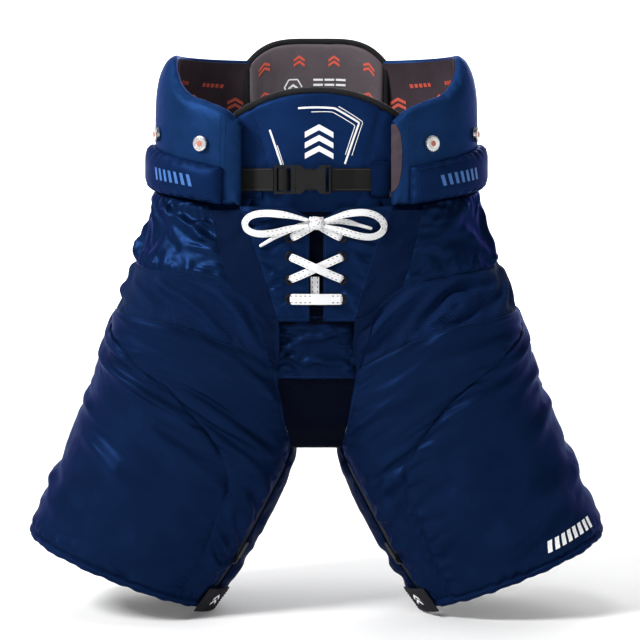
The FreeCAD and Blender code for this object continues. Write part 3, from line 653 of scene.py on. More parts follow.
def knit(name, base, pitch=0.0026, rough=0.72, depth=0.0005, hole_shade=0.5, rib_highlight=1.15):
    """A mesh knit: rows of small cells, darker in the holes and lighter on the ribs; this is partly the knit's
    own open look and partly painted shade in the holes and a painted highlight on the ribs.
    """
    m = Nodes(name)
    cell = m.weave(pitch, pitch * 0.8, 0.5)
    cloud = m.noise(24.0, 4.0, 0.6)
    # hole_shade and rib_highlight take the colour from painted shade in the holes to a painted highlight on the
    # ribs, over a random cloud of tone.
    shade = m.math("MULTIPLY", m.range(cell, 0.15, 0.75, hole_shade, rib_highlight), m.range(cloud, 0.3, 0.7, 0.85, 1.15))
    mixer = m.add("VectorMath", operation="SCALE")
    mixer.inputs[0].default_value = base
    m.t.links.new(shade, mixer.inputs["Scale"])
    m.link(mixer.outputs[0], "Base Color")
    n = m.bump(cell, 0.7, depth)
    m.link(m.bump(m.noise(30.0, 4.0, 0.55, "FBM", 0.8), 0.3, 0.003, n), "Normal")
    m.set(Roughness=rough, Specular_IOR_Level=0.03)
    return m.mat


YARN, HERRINGBONE = 0.0016, 0.0062


def webbing(name, base):
    """Woven belt webbing: a herringbone of thick yarns."""
    m = Nodes(name)
    u, v = m.uv()
    zig = m.math("ABSOLUTE", m.math("SUBTRACT", m.math("FRACT", m.math("MULTIPLY", v, 1 / HERRINGBONE)), 0.5))
    lean = m.math("ADD", u, m.math("MULTIPLY", zig, 0.005))
    yarn = m.math("SINE", m.math("MULTIPLY", lean, 2 * math.pi / YARN))
    high = m.math("ADD", m.math("MULTIPLY", yarn, 0.5), 0.5)
    m.link(m.ramp(high, (0.1, tone(base, 0.45)), (0.9, tone(base, 1.5))), "Base Color")
    m.link(m.bump(high, 0.6, 0.0003), "Normal")
    m.set(Roughness=0.62, Specular_IOR_Level=0.15)
    return m.mat


def solid(name, base, tint, rough=0.5, scuffs=None, grain=None, **sockets):
    """A hard or printed finish: mottled colour, uneven gloss and a fine grain, each from its own noise."""
    m = Nodes(name)
    place = m.place()
    noise, (low, dark), (high, light) = tint
    m.link(m.ramp(m.noise(*noise, vector=place), (low, tone(base, dark)), (high, tone(base, light))),
           "Base Color")
    if scuffs:
        noise, smoother, rougher = scuffs
        m.link(m.range(m.noise(*noise, vector=place), 0.35, 0.7, rough - smoother, rough + rougher), "Roughness")
    if grain:
        noise, strength, deep = grain
        m.link(m.bump(m.noise(*noise, vector=place), strength, deep), "Normal")
    m.set(Roughness=rough, **sockets)
    return m.mat


def plastic(name, base, rough=0.32, shine=0.3):
    """Moulded plastic: a fine texture and slight scuffs."""
    return solid(name, base, ((90.0, 4.0), (0.3, 0.85), (0.75, 1.25)), rough, ((160.0, 5.0, 0.65), 0.05, 0.16),
                 ((2600.0, 2.0), 0.25, 0.00005), Specular_IOR_Level=shine)


def metal(name, base, rough=0.25):
    """Plated metal with faint brushing and handling marks."""
    return solid(name, base, ((120.0, 5.0), (0.3, 0.75), (0.7, 1.0)), rough, ((500.0, 4.0, 0.6), 0.06, 0.14),
                 ((900.0, 3.0), 0.12, 0.0001), Metallic=1.0)


def thread(name, base):
    """Sewing thread with a twist of lighter and darker fibres."""
    return solid(name, base, ((900.0, 2.0), (0.3, 0.7), (0.7, 1.3)), 0.6, Specular_IOR_Level=0.03)


def screen_print(name, base):
    """Screen print: a thin, slightly worn film."""
    return solid(name, base, ((700.0, 4.0, 0.6), (0.28, 0.72), (0.5, 1.0)), 0.5, None,
                 ((1500.0, 2.0), 0.2, 0.00005))


TICK, TICKED_STRETCH = 0.0050, 0.052      # spacing of the lace's dark ticks, and of the stretches that show them


def lace_cloth(name):
    """Flat waxed lace: a white weave with short dark ticks along both edges."""
    m = Nodes(name)
    u, v = m.uv()
    high = m.weave(0.0012, 0.0010)
    across = m.math("ABSOLUTE", m.math("SUBTRACT", v, 0.5))
    band = m.math("MULTIPLY", m.math("GREATER_THAN", across, 0.27), m.math("LESS_THAN", across, 0.35))
    tick = m.math("LESS_THAN", m.math("FRACT", m.math("MULTIPLY", u, 1 / TICK)), 0.42)
    faced = m.math("GREATER_THAN", m.math("SINE", m.math("MULTIPLY", u, 2 * math.pi / TICKED_STRETCH)), -0.25)
    dark = m.math("MULTIPLY", m.math("MULTIPLY", band, tick), faced)
    mixer = m.add("Mix", data_type="RGBA")
    m.t.links.new(dark, mixer.inputs["Factor"])
    m.t.links.new(m.ramp(high, (0.0, (0.55, 0.56, 0.58)), (0.6, (0.82, 0.82, 0.83))), mixer.inputs["A"])
    mixer.inputs["B"].default_value = (0.02, 0.02, 0.03, 1)
    m.link(mixer.outputs["Result"], "Base Color")
    m.link(m.bump(high, 0.5, 0.0002), "Normal")
    m.set(Roughness=0.6, Sheen_Weight=0.2)
    return m.mat


MATS = {name: make(name, *look) for name, make, *look in (
    ("satin", satin, (0.0034, 0.0108, 0.0395), 0.44, 0.34),
    ("hip_satin", satin, (0.0038, 0.0128, 0.0455), 0.38, 0.35, 0.6),
    # Lighter than the other satins: painted light, for the light that falls on the hip pads' tops and outer
    # faces; the spine pad's back wears it too.
    ("wing_satin", satin, (0.0064, 0.0250, 0.086), 0.44, 0.4),
    ("seat_satin", satin, (0.0036, 0.0118, 0.0425), 0.42, 0.35, 0.5),
    ("fly_satin", satin, (0.0038, 0.0132, 0.050), 0.38, 0.3, 0.55),
    ("cover_satin", satin, (0.0038, 0.0138, 0.054), 0.46, 0.35),
    ("tongue_satin", satin, (0.0050, 0.0190, 0.074), 0.46, 0.2, 0.35),
    ("hem_satin", satin, (0.0034, 0.0112, 0.044), 0.48, 0.5),
    ("inner_leg", satin, (0.0018, 0.0064, 0.026), 0.6, 0.3, 0.2),
    # After a knit's depth come the painted shade in its holes and the painted highlight on its ribs.
    ("yoke_knit", knit, (0.0016, 0.0072, 0.031), 0.0026, 0.72, 0.0005, 0.2, 1.6),
    ("stretch_knit", knit, (0.0024, 0.0112, 0.047), 0.0030, 0.72, 0.0005, 0.25, 1.5),
    ("gusset_knit", knit, (0.0005, 0.0016, 0.0075), 0.0024),
    ("lining", knit, (0.100, 0.083, 0.094), 0.0018, 0.8, 0.0002, 0.8),
    ("lining_dark", knit, (0.052, 0.038, 0.047), 0.0018, 0.8, 0.0002, 0.8),
    # The leg lining is a real layer, coloured near black as painted shade, so that the gaps beside it read as
    # shadow.
    ("foam_lining", knit, (0.016, 0.0175, 0.026), 0.002, 0.85, 0.0002, 0.8),
    ("tab", knit, (0.02, 0.02, 0.024), 0.0014, 0.8, 0.0003, 0.7),
    ("binding", webbing, (0.011, 0.011, 0.013)),
    ("webbing", webbing, (0.0082, 0.0078, 0.0074)),
    ("zip_tape", webbing, (0.010, 0.011, 0.016)),
    ("buckle", plastic, (0.0062, 0.0062, 0.0064), 0.3, 0.22),
    ("coral_enamel", plastic, (0.42, 0.13, 0.09), 0.4),
    ("eyelet", plastic, (0.004, 0.004, 0.005), 0.4, 0.12),
    ("aglet", plastic, (0.72, 0.72, 0.74), 0.15),
    ("button", metal, (0.72, 0.71, 0.70)),
    ("zip", metal, (0.05, 0.05, 0.055), 0.35),
    ("lace", lace_cloth),
    ("thread", thread, (0.0075, 0.0265, 0.090)),
    ("navy_thread", thread, (0.0030, 0.0112, 0.042)),
    ("dark_thread", thread, (0.03, 0.03, 0.035)),
    ("white_print", screen_print, (0.86, 0.87, 0.88)),
    ("blue_print", screen_print, (0.02, 0.11, 0.36)),
    ("coral_print", screen_print, (0.62, 0.085, 0.045)),
)}


# ---------------------------------------------------------------- placing pieces
def place(name, arrays, material, body, slot=None, stand_for=()):
    """One piece: its material, its body, to which it is attached when one is named (given two to blend between,
    it is left where it is, unattached), and what it stands for; the slot is not used.
    """
    ob = mesh_object(name, *arrays)
    ob.data.materials.append(MATS[material])
    if isinstance(body, str):
        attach(ob, body)
    else:
        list(body)
        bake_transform(ob)
    if stand_for:
        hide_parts(*stand_for)
    return ob


def across_hip(name):
    """Fabric of one side that turns from the trunk to the leg."""
    (x0, z0), (x1, z1) = HIP_FOLD
    side = SIDES[name]
    return ("waist", "leg_" + name, (side * x0 / 1000, 0.0, (z0 - WAIST_Z) / 1000),
            (side * x1 / 1000, 0.0, (z1 - WAIST_Z) / 1000))


def sheet_piece(name, g, thick, *finish):
    return place(name, shell_arrays(g, thick), *finish)


# ---------------------------------------------------------------- fabric panels
PANEL_STEP, FINE_STEP = 0.005, 0.004      # spacing of the cloth's points in metres


def sized_grid(fn, step, outward=radial):
    w, h = lengths(grid(fn, 9, 9, outward))
    return grid(fn, max(4, int(w / step)), max(4, int(h / step)), outward)


def trunk_panel(side, first, last, low, high, step=PANEL_STEP):
    """A trunk panel between two edges, angles by height, and two heights by angle; without seam gaps."""
    def fn(u, v):
        a = mix(first(400.0), last(400.0), u)
        for _ in range(5):
            z = mix(low(a), high(a), v)
            a = mix(first(z), last(z), u)
        return trunk(side, a, z)

    return sized_grid(fn, step)


def leg_panel(side, first, last, low, high):
    """A leg panel between two edges, angles by place along the leg, and two places by angle."""
    def fn(u, v):
        s = v * 1.0
        for _ in range(14):
            a = mix(first(s), last(s), u)
            s = mix(s, mix(low(a), high(a), v), 0.7)
        return leg(side, a, s)

    return sized_grid(fn, PANEL_STEP, leg_outward(side))


def fly_inner(z):
    return trunk_angle(FLY_HALF_GAP + 0 * z, z)


def fly_outer(z):
    return trunk_angle(fly_edge(z), z)


def fly_head(a):
    """The fly panel's top edge, with its inner corner rounded off."""
    return FLY_HEAD - 11.0 * (1 - ease(trunk_angle(FLY_HALF_GAP, 455.0), trunk_angle(33.0, 455.0), a))


def yoke_outer(z):
    return trunk_angle(yoke_edge(z), z)


def band_grid(side):
    def fn(u, v):
        top, foot = mix(-78.0, 78.0, u), mix(-130.0, 130.0, u)
        a, b = trunk(side, top, band_top(top)), leg(side, foot, band_bottom(foot))
        return a + (b - a) * v[..., None]

    return grid(fn, 100, 16, lambda p: np.stack([p[..., 0] - side * 0.11, p[..., 1], 0 * p[..., 0]], -1))


def crotch_end(s, way=1):
    """The right leg's inner front edge, or with way -1 the same line mirrored to the back."""
    p = leg(1, -front_edge(s), s)
    return np.stack([p[..., 0], p[..., 1] * way, p[..., 2]], -1)


def crotch_whole():
    """The gathered panel from leg to leg."""
    def fn(u, v):
        x, y, z = np.moveaxis(crotch_end(mix(1.0, CROTCH_HEAD, v)), -1, 0)
        k = 2 * u - 1
        return np.stack([x * k, y - mix(0.003, 0.0055, v) * (1 - k**2), z], -1)

    return grid(fn, 32, 22)


GUSSET_FRONT = (1.0, 0.96, 0.92, 0.88, 0.84, 0.80, 0.77, 0.74, 0.71)
GUSSET_BACK = (0.71, 0.75, 0.80, 0.86, 0.92, 1.0, 1.08, 1.15, 1.225)


def gusset_whole():
    """The knit strip from the front, between the legs and up the back."""
    front, back = crotch_end(np.array(GUSSET_FRONT)), crotch_end(np.array(GUSSET_BACK), -1)
    x, y, z = front[-1]
    ys = np.linspace(y + 0.018, 0.042, 6)
    middle = np.stack([0 * ys + x - 0.0015, ys, 0 * ys + z - 0.004], -1)
    rows = smooth_path(np.concatenate([front, middle, back]), 90)
    k = np.linspace(-1, 1, 17)[:, None, None]
    across = np.array([1, 0, 0]) * k + np.array([0, 1, 1])
    return Grid(rows[None] * across, lambda p: np.stack([0 * p[..., 0], p[..., 1], 0 * p[..., 0] - 0.06], -1))


PANELS = {}
for name, side in SIDES.items():
    PANELS["fly", name] = trunk_panel(side, fly_inner, fly_outer, always(FLY_FOOT), fly_head, FINE_STEP)
    PANELS["yoke", name] = trunk_panel(side, fly_outer, yoke_outer, band_top, always(YOKE_HEAD))
    PANELS["hip", name] = trunk_panel(side, yoke_outer, always(HIP_SEAM), band_top, waist_top, FINE_STEP)
    PANELS["seat", name] = trunk_panel(side, always(HIP_SEAM), always(SEAT_SEAM), band_top, waist_top)
    PANELS["band", name] = band_grid(side)
    PANELS["front", name] = leg_panel(side, lambda s: -front_edge(s), lambda s: -thigh_seam(s), always(0.01),
                                      band_bottom)
    PANELS["outer", name] = leg_panel(side, lambda s: -thigh_seam(s),
                                      lambda s: np.minimum(LEG_SEAM, front_edge(s)),
                                      always(0.01), band_bottom)
    PANELS["inner", name] = leg_panel(side, always(LEG_SEAM), lambda s: 360 - front_edge(s) - 7, always(0.01),
                                      always(INNER_TOP))
PANELS["crotch", "both"] = crotch_whole()
PANELS["gusset", "both"] = gusset_whole()

# Long folds of a panel: how many, their lean in degrees, length, width, height, and the span that they fill.
LONG_FOLDS = {
    "hip": ((8, 48, 0.085, 0.0070, 0.0078),),
    "seat": ((8, 25, 0.08, 0.008, 0.0062),),
    "band": ((7, 146, 0.11, 0.0085, 0.0105, (0.02, 0.46)), (7, 34, 0.11, 0.0085, 0.0105, (0.54, 0.98))),
    "front": ((7, 8, 0.11, 0.0105, 0.0090),),
    "outer": ((8, 24, 0.14, 0.0125, 0.0095, (0.02, 0.5)), (8, 156, 0.14, 0.0125, 0.0095, (0.5, 0.98))),
    "inner": ((5, 20, 0.07, 0.009, 0.004),),
    "fly": ((5, 168, 0.045, 0.0062, 0.0042, (0.55, 0.95)),),
    "crotch": ((6, 4, 0.055, 0.0046, 0.0062),),
}
# Puckers at a panel's seams: the edge, their spacing, length, width and height.
SEAM_FOLDS = {
    "hip": (("first", 0.011, 0.026, 0.0034, 0.0038), ("foot", 0.012, 0.024, 0.0036, 0.0040),
            ("top", 0.014, 0.022, 0.0038, 0.0034)),
    "seat": (("foot", 0.014, 0.022, 0.0038, 0.0032), ("top", 0.014, 0.020, 0.0038, 0.0030)),
    "band": (("first", 0.010, 0.018, 0.0036, 0.0022), ("top", 0.013, 0.014, 0.0040, 0.0018)),
    "fly": (("last", 0.0095, 0.018, 0.0028, 0.0034),),
    "front": (("last", 0.012, 0.016, 0.0036, 0.0020), ("top", 0.015, 0.018, 0.0042, 0.0020),
              ("foot", 0.013, 0.016, 0.0038, 0.0024), ("first", 0.013, 0.016, 0.0038, 0.0018)),
    "outer": (("first", 0.012, 0.020, 0.0038, 0.0024), ("foot", 0.013, 0.018, 0.0038, 0.0026),
              ("top", 0.016, 0.018, 0.0042, 0.0020)),
    "inner": (("last", 0.013, 0.016, 0.0038, 0.0020), ("foot", 0.013, 0.014, 0.0038, 0.0020)),
    "crotch": (("first", 0.0075, 0.026, 0.0025, 0.0034), ("last", 0.0075, 0.026, 0.0025, 0.0034)),
    "yoke": (("first", 0.012, 0.010, 0.0030, 0.0011), ("last", 0.012, 0.010, 0.0030, 0.0011)),
}
# The fine crumple of a panel: the size of its patches and how deep each is.
CRUMPLE = {"hip": ((0.013, 0.0010), (0.007, 0.0004)), "seat": ((0.014, 0.0009), (0.007, 0.0004)),
           "fly": ((0.010, 0.0004),), "crotch": ((0.009, 0.0005),), "front": ((0.020, 0.0008), (0.010, 0.0003)),
           "outer": ((0.022, 0.0010), (0.010, 0.0003)), "inner": ((0.016, 0.0007),), "band": ((0.016, 0.0004),)}
LEG_PUFF = 1e-5
# How a panel is cut and padded: extra width and height as shares, puff, and how far it may sink and stand up.
CUT = {
    "fly": (0.004, 0.006, 0, 0.0012, 0.003),
    "yoke": (0.004, 0.006, 0, 0.0008, 0.002),
    "hip": (0.008, lambda g: uneven(g, 0.0, 0.03), 0, 0.0035, 0.0075),
    "seat": (0.01, lambda g: uneven(g, 0.0, 0.03), 0, 0.0025, 0.006),
    "band": (0.003, 0.004, 0, 0.004, 0.007),
    "front": (lambda g: 0.004 + 0.03 * near(g, 0.018, "foot", "top"), 0.003, LEG_PUFF, 0.004, 0.007),
    "outer": (lambda g: 0.004 + 0.03 * near(g, 0.02, "foot", "top"),
              lambda g: 0.004 + 0.03 * near(g, 0.014, "first"), LEG_PUFF, 0.004, 0.008),
    "inner": (0.01, lambda g: uneven(g, 0.01, 0.03), LEG_PUFF, 0.002, 0.004),
    "crotch": (0.01, 0.02, 0, 0.003, 0.006),
}


def long_folds(kind, g):
    """A panel's long folds; the fly's are only on its outer half."""
    field = sum(drag_lines(g, *rule) for rule in LONG_FOLDS[kind])
    if kind == "fly":
        field = field * ease(0.4, 0.6, shares(g)[0])
    return held_at_seams(g, field, 0.007)


def settled(kind, name):
    """A panel after the cloth has settled, at twice the points and with its puckers and crumple."""
    g = PANELS[kind, name]
    if kind in CUT:
        grow_u, grow_v, puff, low, high = (x(g) if callable(x) else x for x in CUT[kind])
        settle(g, grow_u, grow_v, puff, low, high, folds=long_folds(kind, g) if kind in LONG_FOLDS else 0.0)
    fine = g.like(up2(g.p))
    if kind in SEAM_FOLDS:
        short = sum(puckers(fine, *rule) for rule in SEAM_FOLDS[kind])
        for patch, deep in CRUMPLE.get(kind, ()):
            short = short + uneven(fine, -deep, deep, patch)
        fine.p = fine.p + fine.normals() * held_at_seams(fine, short, 0.0032)[..., None]
    PANELS[kind, name] = fine
    return fine


FABRIC = 0.0022
# The CAD node and the material of each kind of panel.
KINDS = {"fly": ("fly_panel_", "fly_satin"), "yoke": ("yoke_knit_", "yoke_knit"),
         "hip": ("hip_panel_", "hip_satin"),
         "band": ("stretch_band_", "stretch_knit"), "front": ("leg_front_panel_", "satin"),
         "outer": ("leg_outer_panel_", "satin"), "inner": ("leg_inner_panel_", "inner_leg"),
         "seat": ("seat_panel", "seat_satin"), "crotch": ("crotch_panel", "satin"),
         "gusset": ("crotch_gusset", "gusset_knit")}
ON_WAIST = ("fly", "yoke", "hip", "seat")
for kind, name in list(PANELS):
    node, material = KINDS[kind]
    fine = settled(kind, name)
    if name == "both":
        middle = fine.p.shape[0] // 2
        for half, part in (("left", fine.p[:middle + 1]), ("right", fine.p[middle:])):
            sheet_piece(kind + "_fabric_" + half, fine.like(part), FABRIC, material, across_hip(half), None,
                        (node,) * (half == "left"))
        continue
    body = "waist" if kind in ON_WAIST else across_hip(name)
    stands = (node + name,) if node.endswith("_") else (node,) * (name == "left")
    sheet_piece(kind + "_fabric_" + name, fine, FABRIC, material, body, None, stands)


def yoke_tail_grid(side, back):
    """The yoke knit's narrow end, which laps over the stretch band's end and the crotch panel's edge."""
    band = PANELS["band", "left" if side < 0 else "right"]
    v = np.linspace(-0.02, 1.0, 36)
    end, way, y = (1.0, -1.0, 1) if back else (0.0, 1.0, -1)
    wide = np.interp(v, [0, 1], [0.034, 0.006])
    rows = [band.at(end + way * wide * q, np.clip(v, 0, 1), 0.0017) for q in (0.0, 0.35, 0.7, 1.0)]
    lean = metres(-side * 6.0, y * 0.6, WAIST_Z)
    narrow = (1 - 0.9 * np.clip(v, 0, 1) ** 3)[:, None]
    rows = [rows[0] + lean * q * narrow for q in (1.0, 0.5)] + rows
    return Grid(up2(np.array(rows)), facing(y))


def facing_grid(side):
    """The waist's inner facing, which closes the step between the trunk's top edge and the pads."""
    def fn(u, v):
        a = mix(-66.0, 90.0, u)
        foot = trunk(side, a, waist_top(a) - 8, -2.4)
        head = wing(side, a, waist_top(a) + 11, -14.0 - 5.0 * ease(56, 64, a))
        return foot + (head - foot) * v[..., None]

    return grid(fn, 70, 6)


LINING_DEPTH = 13.0


def lining_grid(side):
    """The leg's own lining, seen from below: the front, outer side and back in one sheet."""
    return grid(lambda u, v: leg(side, mix(-150.0, 150.0, u), mix(0.02, 1.12, v), -LINING_DEPTH), 64, 30,
                leg_outward(side))


for name, side in SIDES.items():
    sheet_piece("waist_facing_" + name, facing_grid(side), 0.001, "inner_leg", "waist", "satin")
    for back, end in ((False, "front"), (True, "back")):
        sheet_piece(f"yoke_tail_{end}_{name}", yoke_tail_grid(side, back), 0.001, "yoke_knit", across_hip(name),
                    "yoke_knit")
    # The leg lining's near-black colour is painted shade, for the gaps beside it.
    sheet_piece("leg_lining_" + name, lining_grid(side), 0.002, "foam_lining", across_hip(name), None,
                ("thigh_foam_" + name, "thigh_plate_" + name))


# ---------------------------------------------------------------- stitches, beads and prints
def frames(path, out):
    """Unit tangents, side ways and normals along a path; out gives the way that the normal leans."""
    t = np.gradient(path, axis=0)
    t /= np.linalg.norm(t, axis=1, keepdims=True)
    out = np.broadcast_to(out, path.shape)
    n = out - t * np.sum(t * out, 1, keepdims=True)
    n /= np.maximum(np.linalg.norm(n, axis=1, keepdims=True), 1e-9)
    return t, np.cross(t, n), n


def ring_faces(rings, spots):
    """Quads between rings of spots, one after another."""
    i, j = np.meshgrid(np.arange(rings - 1), np.arange(spots), indexing="ij")
    a, b = i * spots + j, i * spots + (j + 1) % spots
    return [list(q) for q in np.stack([a, b, b + spots, a + spots], -1).reshape(-1, 4)]


def end_caps(rings, spots):
    """The flat ends of a stack of rings."""
    return [list(range(spots))[::-1], [(rings - 1) * spots + q for q in range(spots)]]


def swept(path, side_way, normal, half_w, half_t, spots=10, power=2.0):
    """A closed bar along a path, of an oval section that may vary. Its uv is metres along and share round."""
    n = len(path)
    k = np.linspace(0, 2 * math.pi, spots, endpoint=False)
    c, s = np.cos(k), np.sin(k)
    reach = (np.abs(c) ** power + np.abs(s) ** power) ** (-1 / power)
    hw, ht = np.broadcast_to(half_w, n)[:, None, None], np.broadcast_to(half_t, n)[:, None, None]
    ring = path[:, None] + hw * (c * reach)[None, :, None] * side_way[:, None] \
        + ht * (s * reach)[None, :, None] * normal[:, None]
    along = np.r_[0, np.cumsum(np.linalg.norm(np.diff(path, axis=0), axis=1))]
    uv = np.stack([np.repeat(along, spots), np.tile((c * reach + 1) / 2, n)], -1)
    return ring.reshape(-1, 3), ring_faces(n, spots) + end_caps(n, spots), uv


def bead(path, radius, out=(0, -1, 0), spots=10):
    _, way, n = frames(path, np.array(out, float))
    return swept(path, way, n, radius, radius, spots)


PITCH, STITCH, THREAD_R = 0.0034, 0.0023, 0.00038


def stitches(path, out, pitch=PITCH, long=STITCH, r=THREAD_R, lift=0.0003):
    """A row of thread stitches: small rounded bars lying along a path."""
    along = np.r_[0, np.cumsum(np.linalg.norm(np.diff(path, axis=0), axis=1))]
    at = curve(np.column_stack([along, path]))
    up = curve(np.column_stack([along, np.broadcast_to(out, path.shape)]))
    shape = np.array([0.15, 1.0, 1.0, 0.15])
    parts = []
    for s in np.arange(pitch, along[-1] - long, pitch):
        spots = s + long * np.array([0, 0.22, 0.78, 1.0])
        n = np.moveaxis(up(spots), 0, -1)
        line = np.moveaxis(at(spots), 0, -1) + n * lift
        _, way, n = frames(line, n)
        parts.append(swept(line, way, n, r * shape, r * shape, 5))
    return merged(*parts)


def on_grid(g, uvs, lift=0.0, count=60):
    """A path over a grid through (u, v) spots, and its normals."""
    uv = smooth_path([(u, v, 0) for u, v in uvs], count)
    p = g.at(uv[:, 0], uv[:, 1], lift)
    n = g.at(uv[:, 0], uv[:, 1], lift + 0.001) - p
    return p, n / np.linalg.norm(n, axis=1, keepdims=True)


def seam(name, g, uvs, lift, count, *finish):
    """A row of stitches over a grid through (u, v) spots."""
    return place(name, stitches(*on_grid(g, uvs, lift, count)), *finish)


def print_shapes(g, centre, shapes, lift=0.00035):
    """Printed quadrilaterals on a grid: corners in metres to the side and up from a (u, v) centre."""
    u0, v0, e = np.array([centre[0]]), np.array([centre[1]]), 0.01
    wide = np.linalg.norm(g.at(u0 + e, v0) - g.at(u0 - e, v0)) / (2 * e)
    tall = np.linalg.norm(g.at(u0, v0 + e) - g.at(u0, v0 - e)) / (2 * e)
    up = g.at(u0, v0, 1.0) - g.at(u0, v0, 0.0)
    parts = []
    for shape in shapes:
        c = np.array(shape, float)
        nu, nv = (max(2, int(np.linalg.norm(c[k] - c[0]) / 0.003) + 1) for k in (1, 3))
        a, b = np.meshgrid(np.linspace(0, 1, nu), np.linspace(0, 1, nv), indexing="ij")
        a, b = a[..., None], b[..., None]
        xy = c[0] * (1 - a) * (1 - b) + c[1] * a * (1 - b) + c[2] * a * b + c[3] * (1 - a) * b
        p = g.at(centre[0] + xy[..., 0] / wide, centre[1] + xy[..., 1] / tall, lift)
        parts.append(shell_arrays(Grid(p, lambda q: up), 0.0002))
    return merged(*parts)


def bars(count, pitch, wide, tall, slant):
    """Generic slanted bars in a row, in place of lettering."""
    middles = [(k - (count - 1) / 2) * pitch for k in range(count)]
    return [[(x - wide / 2 - slant, -tall / 2), (x + wide / 2 - slant, -tall / 2),
             (x + wide / 2 + slant, tall / 2), (x - wide / 2 + slant, tall / 2)] for x in middles]


def chevron(x, z, half, tall, thick):
    """One upward chevron as two quadrilaterals."""
    return [[(x - half, z), (x, z + tall), (x, z + tall + thick), (x - half, z + thick)],
            [(x, z + tall), (x + half, z), (x + half, z + thick), (x, z + tall + thick)]]


def stroke(points, width):
    """Quadrilaterals along a polyline."""
    out = []
    for (x0, z0), (x1, z1) in zip(points, points[1:]):
        n = math.hypot(x1 - x0, z1 - z0)
        dx, dz = -(z1 - z0) / n * width / 2, (x1 - x0) / n * width / 2
        out.append([(x0 - dx, z0 - dz), (x1 - dx, z1 - dz), (x1 + dx, z1 + dz), (x0 + dx, z0 + dz)])
    return out


# ---------------------------------------------------------------- pads round the waist
WING_FRONT, WING_BACK = -63.0, 62.5       # angles where the hip pad starts and ends
COVER_FRONT, COVER_BACK = -58.5, 60.5
COVER_PROUD = 12.0                        # millimetres that the belt cover stands outside the hip pad
SEWN_DEEP = 0.0022


def wing_fn(side, first, last, low, high, proud=0.0):
    """Surface of a pad on the hip wing at a depth in metres below proud millimetres."""
    def fn(u, v, depth):
        a = mix(first, last, u)
        return wing(side, a, mix(low(a), high(a), v), proud - depth * 1000)

    return fn


def dented(g, dist):
    """Presses a sewn line into a grid: dist is each point's distance from the line, in metres."""
    g.p = g.p - g.normals() * (SEWN_DEEP * np.exp(-(dist / SEWN_DEEP) ** 2))[..., None]


def quilted(fn, thick, r, width, height, step, grow, seams=(), outward=radial, puff=2e-5):
    """A pad whose outer skin is cut full, so it puckers along its edges and sewn lines."""
    outer, inner = pillow(fn, thick, r, width, height, step, outward)
    for dist in seams:
        dented(outer, dist(outer))
    ends, rows = near(outer, 0.012, "first", "last"), near(outer, 0.012, "foot", "top")
    settle(outer, grow * (0.3 + 1.6 * rows), grow * (0.3 + 1.6 * ends), puff, 0.001, 0.004, steps=60)
    return outer, inner


def padded(name, skins, fill, *finish):
    piece = place(name, pad_arrays(*skins), *finish)
    return skins[0]


MOTIF_STEPS = (0.0415, 0.0185)
CHEVRON = (0.0066, 0.0046, 0.0034)        # half width, rise and thickness
DASHES, DASH_WIDE, DASH_HALF, DASH_LEAN = (-0.012, -0.0075, -0.003, 0.0015, 0.006), 0.003, 0.002, 0.0006


def dash(x, z):
    return [(x, z - DASH_HALF), (x + DASH_WIDE, z - DASH_HALF), (x + DASH_WIDE + DASH_LEAN, z + DASH_HALF),
            (x + DASH_LEAN, z + DASH_HALF)]


def lining_motifs(g, keep):
    """Small coral chevrons and dashes in alternate rows, all over a lining."""
    (w, h), (step_u, step_v) = lengths(g), MOTIF_STEPS
    shapes = []
    rows = int(h / step_v) + 1
    for j in range(rows):
        z = (j + 0.5 - rows / 2) * step_v
        for i in range(-int(w / step_u), int(w / step_u) + 1):
            x = (i + 0.5 * (j % 2)) * step_u
            if keep(x, z) and j % 2:
                shapes += chevron(x, z - 0.0002, *CHEVRON) + chevron(x, z - 0.0060, *CHEVRON)
            elif keep(x, z):
                shapes += [dash(x + q, z) for q in DASHES]
    return shapes


def wing_lining(side):
    def fn(u, v):
        a = mix(WING_FRONT + 1.5, WING_BACK - 1.5, u)
        return wing(side, a, mix(wing_bottom(a) + 4, wing_top(a) - 4, v), -12.6)

    return grid(fn, 60, 24, lambda p: -radial(p))


